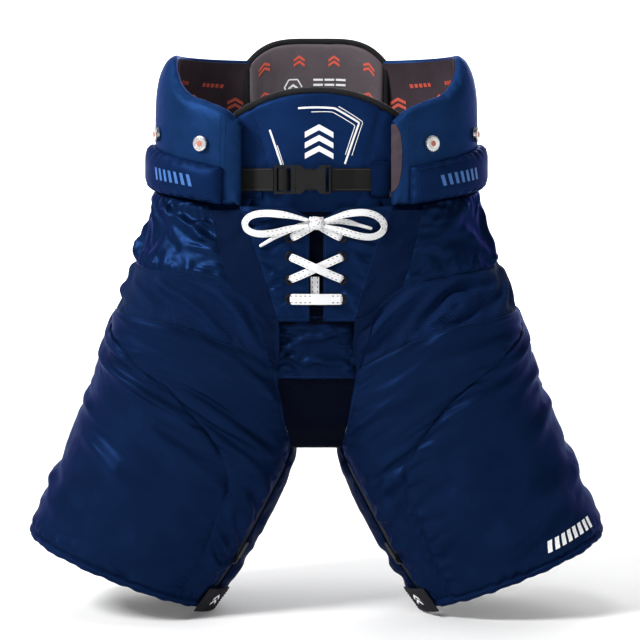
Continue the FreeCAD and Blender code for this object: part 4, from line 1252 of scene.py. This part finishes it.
for name, side in SIDES.items():
    body = "hip_wing_" + name
    fn = wing_fn(side, WING_FRONT, WING_BACK, wing_bottom, wing_top)
    sewn = [lambda g: np.abs(edge_distances(g)[0] - 0.014), lambda g: np.abs(edge_distances(g)[3] - 0.011)]
    skins = quilted(fn, 0.012, 0.006, 0.40, 0.11, 0.0045, 0.03, sewn)
    # This satin is painted lighter, for the light that falls on the hip pad.
    outer = padded("hip_pad_" + name + "_cover", skins, 0.5, "wing_satin", body, None,
                   ("hip_pad_" + name, "hip_plate_" + name))
    w, h = lengths(outer)
    for inset, tag in ((0.0165, "front"), (0.0115, "front2")):
        uvs = [(inset / w, q) for q in np.linspace(0.05, 0.93, 9)]
        seam(f"wing_stitch_{tag}_{name}", outer, uvs, 0.0002, 60, "thread", body, "pad_satin")
    inside = wing_lining(side)
    sheet_piece("hip_lining_" + name, inside, 0.0008, "lining_dark", body, "lining_print")
    motifs = lining_motifs(inside, lambda x, z: abs(x) < 0.17 and abs(z) < 0.055)
    place("hip_lining_print_" + name, print_shapes(inside, (0.5, 0.5), motifs), "coral_print", body,
          "lining_print")
    if name == "right":    # the lining rolls out over this wing's front edge
        lip = grid(lambda u, v: outer.at(mix(0.0, 0.019, u) * np.sin(math.pi * v) ** 0.5, mix(0.16, 0.97, v),
                                         0.0007), 5, 40)
        sheet_piece("wing_lining_lip", lip, 0.0007, "lining_dark", body, "lining_print")

    fn = wing_fn(side, COVER_FRONT, COVER_BACK, wing_bottom, cover_top, COVER_PROUD)
    skins = quilted(fn, 0.0105, 0.005, 0.37, 0.052, 0.004, 0.05)
    outer = padded("belt_cover_" + name + "_pad", skins, 0.6, "cover_satin", body, None, ("belt_cover_" + name,))
    w, h = lengths(outer)
    along, up = np.linspace(0.015, 0.985, 24), np.linspace(0.12, 0.88, 5)
    for tag, uvs, count in (("low", [(q, 0.006 / h) for q in along], 200),
                            ("high", [(q, 1 - 0.006 / h) for q in along], 200),
                            ("end", [(0.006 / w, q) for q in up], 60)):
        seam(f"cover_stitch_{tag}_{name}", outer, uvs, 0.0002, count, "thread", body, "cover_satin")
    marks = bars(7, 0.0088, 0.0042, 0.0125, -side * 0.0018)
    place("cover_print_" + name, print_shapes(outer, (0.165, 0.5), marks), "blue_print", body, "cover_satin")


class Outline:
    """A pad with a domed top and a narrower foot, in millimetres."""

    def __init__(self, half, bottom, top, drop, power, foot):
        self.half, self.bottom, self.top = half, bottom, top
        self.drop, self.power, self.foot = drop, power, foot

    def place(self, u, v):
        """x and z for u in -1..1 and v in 0..1."""
        x = u * self.half * mix(self.foot, 1.0, np.minimum(1.0, v * 2.2) ** 0.8)
        return x, mix(self.bottom, self.top - self.drop * np.abs(x / self.half) ** self.power, v)

    def find(self, x, z):
        """The (u, v) share of a point on the pad."""
        v = (z - self.bottom) / (self.top - self.bottom)
        for _ in range(8):
            one, _ = self.place(1.0, np.array(v))
            _, found = self.place(x / one, np.array(v))
            v = v + (z - found) / (self.top - self.bottom)
        return 0.5 + 0.5 * float(x / one), float(v)


TONGUE = Outline(87.5, 440.0, 584.5, 26.0, 2.2, 0.72)
SPINE = Outline(80.5, 462.0, 654.0, 28.0, 4.0, 0.7)
SEAM_X, SEAM_Z, SEAM_LEAN = 0.054, 0.015, 0.264    # the tongue's two sewn lines lean in towards its foot


def tongue_fn(u, v, depth):
    x, z = TONGUE.place(2 * u - 1, v)
    return metres(x, -100.0 * np.sqrt(1 - (x / 160.0) ** 2) + depth * 1000, z)


def spine_fn(u, v, depth):
    x, z = SPINE.place(2 * u - 1, v)
    return metres(x, 100.0 - 12.0 * (x / 79.0) ** 2 + depth * 1000, z)


def side_seam(g):
    """Distance from the tongue's two sewn lines."""
    x, z = np.abs(g.p[..., 0]), g.p[..., 2]
    return np.abs(x - (SEAM_X + (z - SEAM_Z) * SEAM_LEAN))


def rim_path(fn, from_v, count):
    """The edge of a pad up one side, over the top and down the other, a little outside it in its own plane."""
    rise = np.linspace(from_v, 1, 40)
    u = np.r_[0 * rise, np.linspace(0, 1, 80)[1:-1], 0 * rise + 1]
    v = np.r_[rise, np.ones(78), rise[::-1]]
    p = smooth_path(fn(u, v, np.full(u.shape, 0.006)), count)
    out = np.cross(np.gradient(p, axis=0), [0, 1, 0])
    out /= np.linalg.norm(out, axis=1, keepdims=True)
    return p + out * math.copysign(0.0022, out[len(out) // 2, 2])


def pad_print(g, outline, lines, width):
    """Printed strokes on a pad through x, z points in millimetres."""
    parts = []
    for line in lines:
        uv = [outline.find(x, z) for x, z in line]
        t = np.r_[0, np.cumsum([math.dist(a, b) for a, b in zip(line, line[1:])])]
        spots = np.linspace(0, t[-1], 2 + int(t[-1] / 2.5))
        u, v = (np.interp(spots, t, [q[k] for q in uv]) for k in (0, 1))
        p = g.at(u, v, 0.0004)
        _, way, n = frames(p, g.at(u, v, 0.0014) - p)
        parts.append(swept(p, way, n, width / 2, 0.0002, 4, 8.0))
    return merged(*parts)


FRAME_LINES = [[(-19.6, 567), (19.6, 567), (46.5, 551.5), (31, 507)], [(-50.6, 544), (-38, 506)]]
FINE_LINES = [[(-5.5, 563), (17.5, 563), (42.0, 548.5), (31.5, 517)], [(24, 569), (50.5, 552.5), (38.5, 516)],
              [(-42.5, 527), (-35.5, 506)]]
skins = quilted(tongue_fn, 0.012, 0.005, 0.17, 0.13, 0.0035, 0.006, (side_seam,), facing(-1), 0.0)
outer = padded("tongue_cover", skins, 0.6, "tongue_satin", "tongue", "tongue_satin", ("tongue_pad",))
place("tongue_edge", bead(rim_path(tongue_fn, 0.55, 150), 0.0040), "binding", "tongue", "black_binding",
      ("tongue_binding",))
place("tongue_frame_lines", merged(pad_print(outer, TONGUE, FRAME_LINES, 0.0021),
                                   pad_print(outer, TONGUE, FINE_LINES, 0.0008)), "white_print", "tongue",
      "tongue_satin")
mark = [q for k in range(3) for q in chevron(0.0, -0.0185 + 0.0115 * k, 0.0155, 0.008, 0.0062)]
place("tongue_mark", print_shapes(outer, TONGUE.find(3, 531), mark), "white_print", "tongue", "tongue_satin")
for sign, tag in ((-1, "left"), (1, "right")):
    line = [TONGUE.find(sign * (54 + (z - 505) * SEAM_LEAN), z) for z in np.linspace(500, 560, 12)]
    seam("tongue_stitch_" + tag, outer, line, 0.0004, 60, "thread", "tongue", "tongue_satin")

skins = quilted(spine_fn, 0.012, 0.005, 0.155, 0.18, 0.004, 0.004, (), facing(-1), 0.0)
outer = padded("spine_cover", skins, 0.6, "lining", "spine", "lining_print", ("spine_pad", "spine_plate"))
back = grid(lambda u, v: spine_fn(mix(0.012, 0.988, u), mix(0.0, 0.985, v), 0.0124 + 0 * u), 36, 40, facing(1))
settle(back, 0.012, 0.018, 1e-5, 0.0002, 0.003, steps=60)
# The spine pad's back wears the hip pads' satin, which is painted lighter for light falling on it.
sheet_piece("spine_back_satin", back.like(up2(back.p)), 0.0009, "wing_satin", "spine", "pad_satin")
place("spine_edge", bead(rim_path(spine_fn, 0.04, 190), 0.0042), "binding", "spine", "black_binding",
      ("spine_binding",))
motifs = lining_motifs(outer, lambda x, z: abs(x) < 0.064 and -0.02 < z < 0.086
                       and not (abs(x + 0.003) < 0.052 and 0.022 < z < 0.066))
place("spine_print", print_shapes(outer, (0.5, 0.5), motifs), "coral_print", "spine", "lining_print")
LABEL_X, LABEL_Z = -0.004, 0.0105
HEX_X, HEX_Z, HEX_R = -0.024, 0.0335, 0.0105
label = [[(x, z), (x + 0.0115, z), (x + 0.0115, z + 0.0025), (x, z + 0.0025)]
         for z in 0.023 + 0.006 * np.arange(4) for x in 0.0135 * np.arange(3)]
hexagon = [(HEX_X + HEX_R * math.cos(k * math.pi / 3), HEX_Z + HEX_R * math.sin(k * math.pi / 3))
           for k in range(7)]
label += stroke(hexagon, 0.0016) + chevron(HEX_X, 0.030, 0.006, 0.0045, 0.003)
label = [[(x + LABEL_X, z + LABEL_Z) for x, z in q] for q in label]
place("spine_label", print_shapes(outer, (0.5, 0.5), label, 0.0004), "white_print", "spine", "lining_print")


# ---------------------------------------------------------------- seams and prints on the fabric
INSET = 0.0026
ROWS = {"outer": ("first", "foot", "top"), "front": ("top", "foot", "first"), "hip": ("foot", "first"),
        "band": ("top", "foot"), "fly": ("last", "foot", "first", "top"), "yoke": ("first", "last")}
for (kind, name), g in list(PANELS.items()):
    if kind not in ROWS:
        continue
    w, h = lengths(g)
    rows = []
    for edge in ROWS[kind]:
        share = INSET / (w if edge in ("first", "last") else h)
        share = share if edge in ("first", "foot") else 1 - share
        run = np.linspace(0.01, 0.99, 60)
        spots = [(share, q) if edge in ("first", "last") else (q, share) for q in run]
        rows.append(stitches(*on_grid(g, spots, 0.0001, 240)))
    body = "waist" if kind in ("fly", "yoke", "hip") else across_hip(name)
    material = "thread" if kind in ("fly", "front") else "navy_thread"
    place(f"{kind}_stitches_{name}", merged(*rows), material, body, "satin")


for name, first, last in (("left", 0.03, 0.5), ("right", 0.5, 0.97)):
    seam("crotch_stitches_" + name, PANELS["crotch", "both"], [(q, 0.03) for q in np.linspace(first, last, 30)],
         0.0001, 120, "thread", across_hip(name), "satin")


def nearest(g, x, z):
    """The (u, v) of the front-facing spot of a grid nearest to x and z in metres."""
    d = np.hypot(g.p[..., 0] - x, g.p[..., 2] - z) + 10 * (g.p[..., 1] > 0)
    i, j = np.unravel_index(np.argmin(d), d.shape)
    return i / (g.p.shape[0] - 1), j / (g.p.shape[1] - 1)


MARK_AT = (0.284, (97 - WAIST_Z) / 1000)
g = PANELS["outer", "right"]
place("leg_print_right", print_shapes(g, nearest(g, *MARK_AT), bars(8, 0.0094, 0.0056, 0.0125, 0.0022), 0.0005),
      "white_print", across_hip("right"), "satin")

# ---------------------------------------------------------------- hems, tabs and zips
HEM = np.linspace(-149.5, 203.0, 260)
for name, side in SIDES.items():
    leg_body = "leg_" + name
    edge = leg(side, HEM, 0 * HEM, -1.5)
    ripple = 1 + 0.11 * np.sin(HEM / 2.9 + 2.0 * np.sin(HEM / 17)) + 0.07 * np.sin(HEM / 1.3 + side)
    middle = edge.mean(0)
    _, way, n = frames(edge, edge - middle)
    place("hem_roll_" + name, swept(edge, way, n, 0.0052 * ripple, 0.0046 * ripple, 14), "hem_satin", leg_body,
          "hem_binding", ("hem_binding_" + name,))
    p = leg(side, HEM[4:-4], 0 * HEM[4:-4] + 0.002, 3.4)
    place("hem_stitches_" + name, stitches(p, frames(p, p - middle)[2], lift=0.0), "thread", leg_body,
          "hem_binding")

    def tab_fn(u, v, depth):
        return leg(side, mix(-141.0, -167.0, u), mix(-0.035, 0.085, v), 6.6 - depth * 1000)

    outer, inner = pillow(tab_fn, 0.0024, 0.0012, 0.027, 0.03, 0.002, lambda p: p - middle)
    place("tab_fabric_" + name, pad_arrays(outer, inner), "tab", "leg_tab_" + name, "tab", ("leg_tab_" + name,))
    inset = [(0.09, 0.09), (0.5, 0.09), (0.91, 0.09), (0.91, 0.5), (0.91, 0.91), (0.5, 0.91), (0.09, 0.91),
             (0.09, 0.5), (0.09, 0.12)]
    seam("tab_stitches_" + name, outer, inset, 0.0001, 120, "dark_thread", "leg_tab_" + name, "tab")
    mark = chevron(0, -0.006, 0.0065, 0.005, 0.0032) + chevron(0, 0.0005, 0.0065, 0.005, 0.0032)
    place("tab_print_" + name, print_shapes(outer, (0.5, 0.5), mark), "white_print", "leg_tab_" + name, "tab")

    def slit(s, off):
        return 360 - front_edge(s) - off

    def tape_fn(u, v):
        s = mix(0.03, 0.63, v)
        return leg(side, mix(slit(s, 6.2), slit(s, 0.7), u), s, -1.6)

    tape = grid(tape_fn, 6, 60, lambda p: p - middle)
    sheet_piece("zip_tape_weave_" + name, tape, 0.0012, "zip_tape", across_hip(name), "zip_tape",
                ("zip_tape_" + name,))
    run = np.linspace(0.04, 0.62, 90)
    p = leg(side, slit(run, 1.6), run, -0.9)
    place("zip_teeth_" + name, stitches(p, frames(p, p - middle)[2], 0.0026, 0.0014, 0.0010, 0.0), "zip",
          across_hip(name), "zip_metal")

# ---------------------------------------------------------------- layers inside the trunk
gusset = grid(lambda u, v: trunk(1, trunk_angle(np.abs(mix(-44, 44, u)) + 0.01, mix(333, 455, v)),
                                 mix(333, 455, v), -6.3) * np.array([0, 1, 1])
              + metres(mix(-44, 44, u), 0, WAIST_Z), 24, 30)
sheet_piece("fly_gusset_knit", gusset, 0.0016, "gusset_knit", "waist", "gusset_knit", ("fly_gusset",))


def tailbone_fn(u, v, depth):
    x, z = mix(-38.0, 38.0, u), mix(344.0, 446.0, v)
    p = trunk(1, trunk_angle(np.abs(x) + 0.01, z), z, -6.5 - depth * 1000)
    return np.stack([x / 1000, -p[..., 1], p[..., 2]], -1)


outer, inner = pillow(tailbone_fn, 0.0102, 0.004, 0.076, 0.102, 0.005, facing(1))
padded("tailbone_cushion", (outer, inner), 0.7, "lining", "waist", "foam", ("tailbone_pad", "tailbone_plate"))

# ---------------------------------------------------------------- belt
def belt(x, z, depth=0.0):
    """The webbing's front face, which climbs to the buckle's middle."""
    climb = ease(0.0, 1.0, (58 - np.abs(x + 14)) / 28)
    return metres(x, -(103.6 - depth) * np.sqrt(1 - (x / 163.0) ** 2) - 6.0 * climb, z)


TO_BUCKLE = ("waist", "buckle_release", (-0.104, 0, 0), (-0.05, 0, 0))
for name, first, last, body in (("left", -140.0, -46.5, TO_BUCKLE), ("right", 16.6, 140.0, "waist")):
    strap = grid(lambda u, v: belt(mix(first, last, u), mix(BELT_Z - WEBBING / 2, BELT_Z + WEBBING / 2, v),
                                   0.25 * np.sin(9 * u + 1)), 60, 12)
    sheet_piece("belt_webbing_" + name, strap, 0.0018, "webbing", body, "webbing", ("belt_strap_" + name,))
    for v, tag in ((0.07, "low"), (0.93, "high")):
        p, _ = on_grid(strap, [(q, v) for q in np.linspace(0.02, 0.98, 9)], 0.0001, 120)
        place(f"belt_selvage_{tag}_{name}", bead(p, 0.0006, spots=6), "dark_thread", body, "webbing")
WRAP = [(-42.5, -107.8), (-40.4, -111.0), (-38.6, -114.3), (-35.4, -115.2), (-32.2, -114.3), (-30.6, -111.0),
        (-28.6, -107.8)]
wrap = smooth_path([metres(x, y, BELT_Z) for x, y in WRAP], 40)
_, way, n = frames(wrap, np.array([0.0, -1.0, 0.0]))
place("belt_wrap", swept(wrap, way, n, 0.0118, 0.0007, 12, 6.0), "webbing", "buckle_release", "webbing")


def loop_over(u, v):
    p = belt(mix(60.0, 80.0, u), mix(BELT_Z - 20, BELT_Z + 20, v))
    return p - np.array([0, 1, 0]) * (0.0032 * (1 - np.abs(2 * v - 1) ** 6))[..., None]


over = grid(loop_over, 14, 40)
sheet_piece("belt_loop_right", over, 0.0012, "cover_satin", "waist", "cover_satin", ("belt_loops",))
under = grid(lambda u, v: belt(mix(-80.0, -60.0, u), mix(BELT_Z - 20, BELT_Z + 14, v), 2.35), 12, 24)
sheet_piece("belt_loop_left", under, 0.0009, "cover_satin", "waist", "cover_satin")
for g, tag in ((over, "right"), (under, "left")):
    rows = [on_grid(g, [(q, v) for q in np.linspace(0.08, 0.92, 4)], 0.0001, 30) for v in (0.05, 0.95)]
    place("belt_loop_stitches_" + tag, merged(*[stitches(*row) for row in rows]), "thread", "waist",
          "cover_satin")

# ---------------------------------------------------------------- brace buttons and eyelets
def lathe(centre, axis, profile, spots=40):
    """A turned shape round an axis from (radius, height) steps in metres, with flat ends."""
    a = np.array(axis) / np.linalg.norm(axis)
    side_way = np.cross(a, [0, 0, 1.0])
    side_way /= np.linalg.norm(side_way)
    other = np.cross(a, side_way)
    k = np.linspace(0, 2 * math.pi, spots, endpoint=False)
    ring = np.cos(k)[:, None] * side_way + np.sin(k)[:, None] * other
    verts = np.concatenate([np.array(centre) + a * h + ring * r for r, h in profile])
    n = len(profile)
    return verts, ring_faces(n, spots) + end_caps(n, spots), np.tile(np.stack([k, 0 * k], -1), (n, 1))


FACE = [(0.0031, 0.0016), (0.0033, 0.0024), (0.0030, 0.00275), (0.002, 0.0029), (0.0005, 0.00295)]
RIM = [(0.0052, 0.0018), (0.0076, 0.0018), (0.0081, 0.0022), (0.0076, 0.0027), (0.0062, 0.0028),
       (0.0054, 0.0026)]
for mount in frame["record"]["mounts"]:
    if mount["name"].startswith("brace_button"):
        body = "hip_wing_" + mount["name"].split("_")[-1]
        at, axis = mount["pos_m"], mount["axis"]
        place(mount["name"] + "_enamel", lathe(at, axis, FACE), "coral_enamel", body, "button_metal")
        place(mount["name"] + "_rim", lathe(at, axis, RIM), "button", body, "button_metal")


def front_y(z):
    return float(trunk(1, trunk_angle(EYELET_X, z), z)[1]) * 1000


ROLL = [(0.0034, -0.0012), (0.0037, -0.0021), (0.0045, -0.0024), (0.0054, -0.0021), (0.0058, -0.0012),
        (0.0058, 0.0004), (0.0034, 0.0004)]
ROLL_SPOTS = 28
rings = []
for x in (-EYELET_X, EYELET_X):
    for z in EYELET_Z:
        v, f, uv = lathe(metres(x, front_y(z), z), (0, 1, 0), ROLL, ROLL_SPOTS)
        top = (len(ROLL) - 1) * ROLL_SPOTS
        closing = [[top + j, top + (j + 1) % ROLL_SPOTS, (j + 1) % ROLL_SPOTS, j] for j in range(ROLL_SPOTS)]
        rings.append((v, f[:-2] + closing, uv))
place("eyelet_rolls", merged(*rings), "eyelet", "waist", "eyelet_metal")

# ---------------------------------------------------------------- lace
THIN = 0.0012
FRONT = np.array([0.0, -1.0, 0.0])


def spline(route):
    """Points along the smooth line of a route given in millimetres."""
    data = bpy.data.curves.new("route", "CURVE")
    data.dimensions = "3D"
    s = data.splines.new("NURBS")
    s.points.add(len(route) - 1)
    for q, p in zip(s.points, route):
        q.co = (*metres(*p), 1)
    s.order_u = 3
    s.use_endpoint_u = True
    s.resolution_u = 10
    ob = bpy.data.objects.new("route", data)
    bpy.context.scene.collection.objects.link(ob)
    me = bpy.data.meshes.new_from_object(ob)
    points = np.array([v.co[:] for v in me.vertices])
    bpy.data.objects.remove(ob)
    bpy.data.meshes.remove(me)
    return points


def ribbon(path, lean, width):
    """A flat lace along a path; lean is the way its face looks, and width may vary along it."""
    _, way, n = frames(path, lean)
    return swept(path, way, n, width / 2, THIN / 2, 12, 5.0)


def strand(x0, z0, x1, z1, lift, width=0.0086):
    """A stretch of lace out of one eyelet and into another."""
    y0, y1 = front_y(z0), front_y(z1)
    dx, dz = (x1 - x0) * 0.13, (z1 - z0) * 0.13
    mid = ((x0 + x1) / 2, (y0 + y1) / 2 - 3.3 - lift, (z0 + z1) / 2)
    path = spline([(x0, y0 + 3.0, z0), (x0 - dx * 0.14, y0 - 2.6, z0), (x0 + dx, y0 - 3.6, z0 + dz), mid,
                   (x1 - dx, y1 - 3.6, z1 - dz), (x1 + dx * 0.14, y1 - 2.6, z1), (x1, y1 + 3.0, z1)])
    t = np.linspace(0, 1, len(path))
    return ribbon(path, FRONT, width * (0.66 + 0.34 * ease(0.0, 0.2, np.minimum(t, 1 - t))))


def lace_end(x):
    """The lace out of a top eyelet and up into the knot."""
    y, sign = front_y(427.0), math.copysign(1, x)
    path = spline([(x, y + 3.0, 427), (x - sign * 1, y - 2.8, 427.5), (x - sign * 6, y - 4.0, 429.5),
                   (sign * 13, -120.5, 434.5), (sign * 6, -121.5, 438.5), (0, -122.0, 441)])
    t = np.linspace(0, 1, len(path))
    return ribbon(path, FRONT, 0.0086 * (0.55 + 0.45 * ease(0.0, 0.25, t) * (1 - 0.4 * ease(0.75, 1.0, t))))


def lace_behind(x, top, foot):
    """The length of lace that crosses upright behind the gap between the fly panels."""
    z = np.linspace(foot, top, 12)
    return ribbon(np.array([metres(x, front_y(q) + 3.6, q) for q in z]), FRONT, 0.0092)


lacing = merged(lace_behind(-1.5, 385.0, 358.0), strand(-28, 361, 28, 361, 2.2, 0.0116),
                strand(-28, 407, 28, 382, 7.0), strand(-28, 382, 28, 407, 2.2), lace_end(-28), lace_end(28))
place("lace_crossings", lacing, "lace", "waist", "lace", ("lace_lacing",))
KNOT = np.array(metres(0, -123.0, 443.0))
turn = np.linspace(0, 2 * math.pi, 41)
hoop = np.stack([0.0009 * np.sin(turn), -0.0040 * np.cos(turn), 0.0064 * np.sin(turn)], -1) + KNOT
cross = spline([(-8.0, -123.5, 439.5), (-4.5, -126.6, 441), (0, -127.4, 443.5), (4.5, -126.4, 445.5),
                (8.0, -123.2, 446.5)])
other = spline([(8.0, -122.0, 439.5), (4.0, -124.6, 441), (0, -125.4, 443), (-4.0, -124.6, 445.5),
                (-8.0, -122.4, 447)])
wraps = merged(ribbon(hoop, hoop - KNOT, 0.0098), ribbon(cross, FRONT, 0.0072), ribbon(other, FRONT, 0.0072))
place("lace_knot_wraps", wraps, "lace", "waist", "lace", ("lace_knot",))
BOWS = {
    "left": [(-8.9, -126, 446), (-22, -126.5, 450), (-40, -126, 453), (-57, -123, 454), (-71, -119.5, 451.5),
             (-78, -117.5, 444), (-75.5, -118, 435.5), (-64, -120.5, 431), (-48, -123.5, 432), (-31, -125, 436),
             (-17, -125.5, 439.5), (-8.9, -126, 440.5)],
    "right": [(8.9, -126, 445.5), (21, -126.5, 450), (37, -126, 454), (53, -123.5, 455), (66, -120.5, 451),
              (74, -118, 442.5), (72, -118.5, 433), (61, -121, 427.5), (46, -123.5, 429), (30, -125, 434),
              (17, -125.5, 438), (8.9, -126, 440)],
}
TAILS = {
    "left": [(-8.9, -120.9, 443), (-18, -121.5, 440.2), (-28, -121.4, 436.2), (-38.5, -120.9, 431.6),
             (-48.5, -119.9, 425.6)],
    "right": [(8.9, -120.9, 443.5), (18, -121.7, 445.4), (27.5, -121.5, 445.2), (37, -120.7, 443.6),
              (46, -119.5, 441)],
}
BOW_WIDTH, TAIL_WIDTH, AGLET = 0.0082, 0.0062, 0.015
for name in SIDES:
    path = spline(BOWS[name])
    t = np.linspace(0, 1, len(path))
    away = path - path[len(path) // 3:2 * len(path) // 3].mean(0)
    away[:, 0] *= 0.4
    away /= np.linalg.norm(away, axis=1, keepdims=True)
    width = BOW_WIDTH * (0.5 + 0.5 * ease(0.0, 0.16, np.minimum(t, 1 - t)))
    looped = ribbon(path, FRONT * 0.85 + away * 0.55, width)
    bow = place("lace_bow_ribbon_" + name, looped, "lace", "waist", "lace",
                ("lace_bow_" + name,))
    path = spline(TAILS[name])
    t = np.linspace(0, 1, len(path))
    width = TAIL_WIDTH * (1 - 0.35 * ease(0.75, 1.0, t)) * (0.7 + 0.3 * ease(0.0, 0.2, t))
    hanging = ribbon(path, FRONT + np.array([0, 0, 0.25]), width)
    tail = place("lace_tail_ribbon_" + name, hanging, "lace", "waist",
                 "lace", ("lace_tail_" + name,))
    along = path[-1] - path[-2]
    along /= np.linalg.norm(along)
    cap_line = path[-1] + along * (np.array([-0.002, -0.001, 0.001, 0.005, 0.010, 0.0142, AGLET])[:, None])
    cap_radius = 0.0021 * np.array([0.75, 0.95, 1, 0.96, 0.9, 0.82, 0.5])
    cap = place("lace_aglet_" + name, bead(cap_line, cap_radius, FRONT, 16), "aglet", "waist", "aglet",
                ("lace_aglets",) if name == "left" else ())

# ---------------------------------------------------------------- finishes of the carried-over CAD pieces
CARRIED = {"buckle_female": "buckle", "buckle_male": "buckle", "buckle_prong_upper": "buckle",
           "buckle_prong_lower": "buckle", "eyelets": "eyelet"}
for name in SIDES:
    CARRIED["suspender_buttons_" + name] = "button"
    CARRIED["zip_slider_" + name] = "zip"
for node, material in CARRIED.items():
    for slot in frame["nodes"][node].material_slots:
        slot.material = MATS[material]


# ---------------------------------------------------------------- camera, light and stage
def aim(ob, target):
    ob.rotation_euler = (Vector(target) - ob.location).to_track_quat("-Z", "Y").to_euler()


camera = bpy.data.objects.new("camera", bpy.data.cameras.new("camera"))
bpy.context.scene.collection.objects.link(camera)
bpy.context.scene.camera = camera
camera.data.lens = 100
TARGET = (0.004, 0.0, -0.160)
VIEW_WIDTH = 0.736
distance = VIEW_WIDTH * camera.data.lens / camera.data.sensor_width
ELEVATION = math.radians(4.0)
camera.location = (TARGET[0], -distance * math.cos(ELEVATION), TARGET[2] + distance * math.sin(ELEVATION))
camera.data.clip_end = 30
aim(camera, TARGET)


def area_light(name, at, size, power, target=(0, 0, -0.15)):
    data = bpy.data.lights.new(name, "AREA")
    data.size = size
    data.energy = power
    ob = bpy.data.objects.new(name, data)
    bpy.context.scene.collection.objects.link(ob)
    ob.location = at
    aim(ob, target)


area_light("key", (-2.2, -1.5, 1.9), 0.9, 128)
area_light("fill", (1.9, -1.8, 0.3), 1.6, 4)
area_light("top", (-0.4, 0.2, 2.2), 1.4, 26)
area_light("back", (0.6, 2.4, 1.0), 1.4, 24)

floor_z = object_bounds()[0][2] - 0.0005
n = Nodes("floor")
n.link(n.ramp(n.noise(3.0, 2.0, vector=n.place()), (0.3, (0.93, 0.93, 0.93)),
              (0.7, (0.96, 0.96, 0.96))), "Base Color")
n.set(Roughness=0.9)
rows = [(-6, -4), (6, -4), (6, 6), (-6, 6)]
floor = mesh_object("floor", [(x, y, floor_z) for x, y in rows], [(0, 1, 2, 3)], smooth=False)
floor.data.materials.append(n.mat)
glow = Nodes("backdrop")
glow.link(glow.ramp(glow.noise(2.0, 2.0, vector=glow.place()), (0.3, (0.97, 0.97, 0.97)),
                    (0.7, (1.0, 1.0, 1.0))), "Emission Color")
glow.set(Roughness=0.9, Emission_Strength=0.95)
wall = mesh_object("backdrop", [(-9, 3.4, floor_z - 0.01), (9, 3.4, floor_z - 0.01), (9, 3.4, 4), (-9, 3.4, 4)],
                   [(0, 1, 2, 3)], smooth=False)
wall.data.materials.append(glow.mat)
world = bpy.data.worlds.new("world")
bpy.context.scene.world = world
world.use_nodes = True
sky = world.node_tree.nodes
height = sky.new("ShaderNodeSeparateXYZ")
world.node_tree.links.new(sky.new("ShaderNodeTexCoord").outputs["Generated"], height.inputs[0])
haze = sky.new("ShaderNodeValToRGB")
(haze.color_ramp.elements[0].position, haze.color_ramp.elements[0].color) = 0.16, (0.85, 0.85, 0.85, 1)
(haze.color_ramp.elements[1].position, haze.color_ramp.elements[1].color) = 0.42, (0.22, 0.22, 0.22, 1)
world.node_tree.links.new(height.outputs[2], haze.inputs["Fac"])
world.node_tree.links.new(haze.outputs["Color"], sky["Background"].inputs["Color"])
bpy.context.scene.view_settings.view_transform = "Standard"
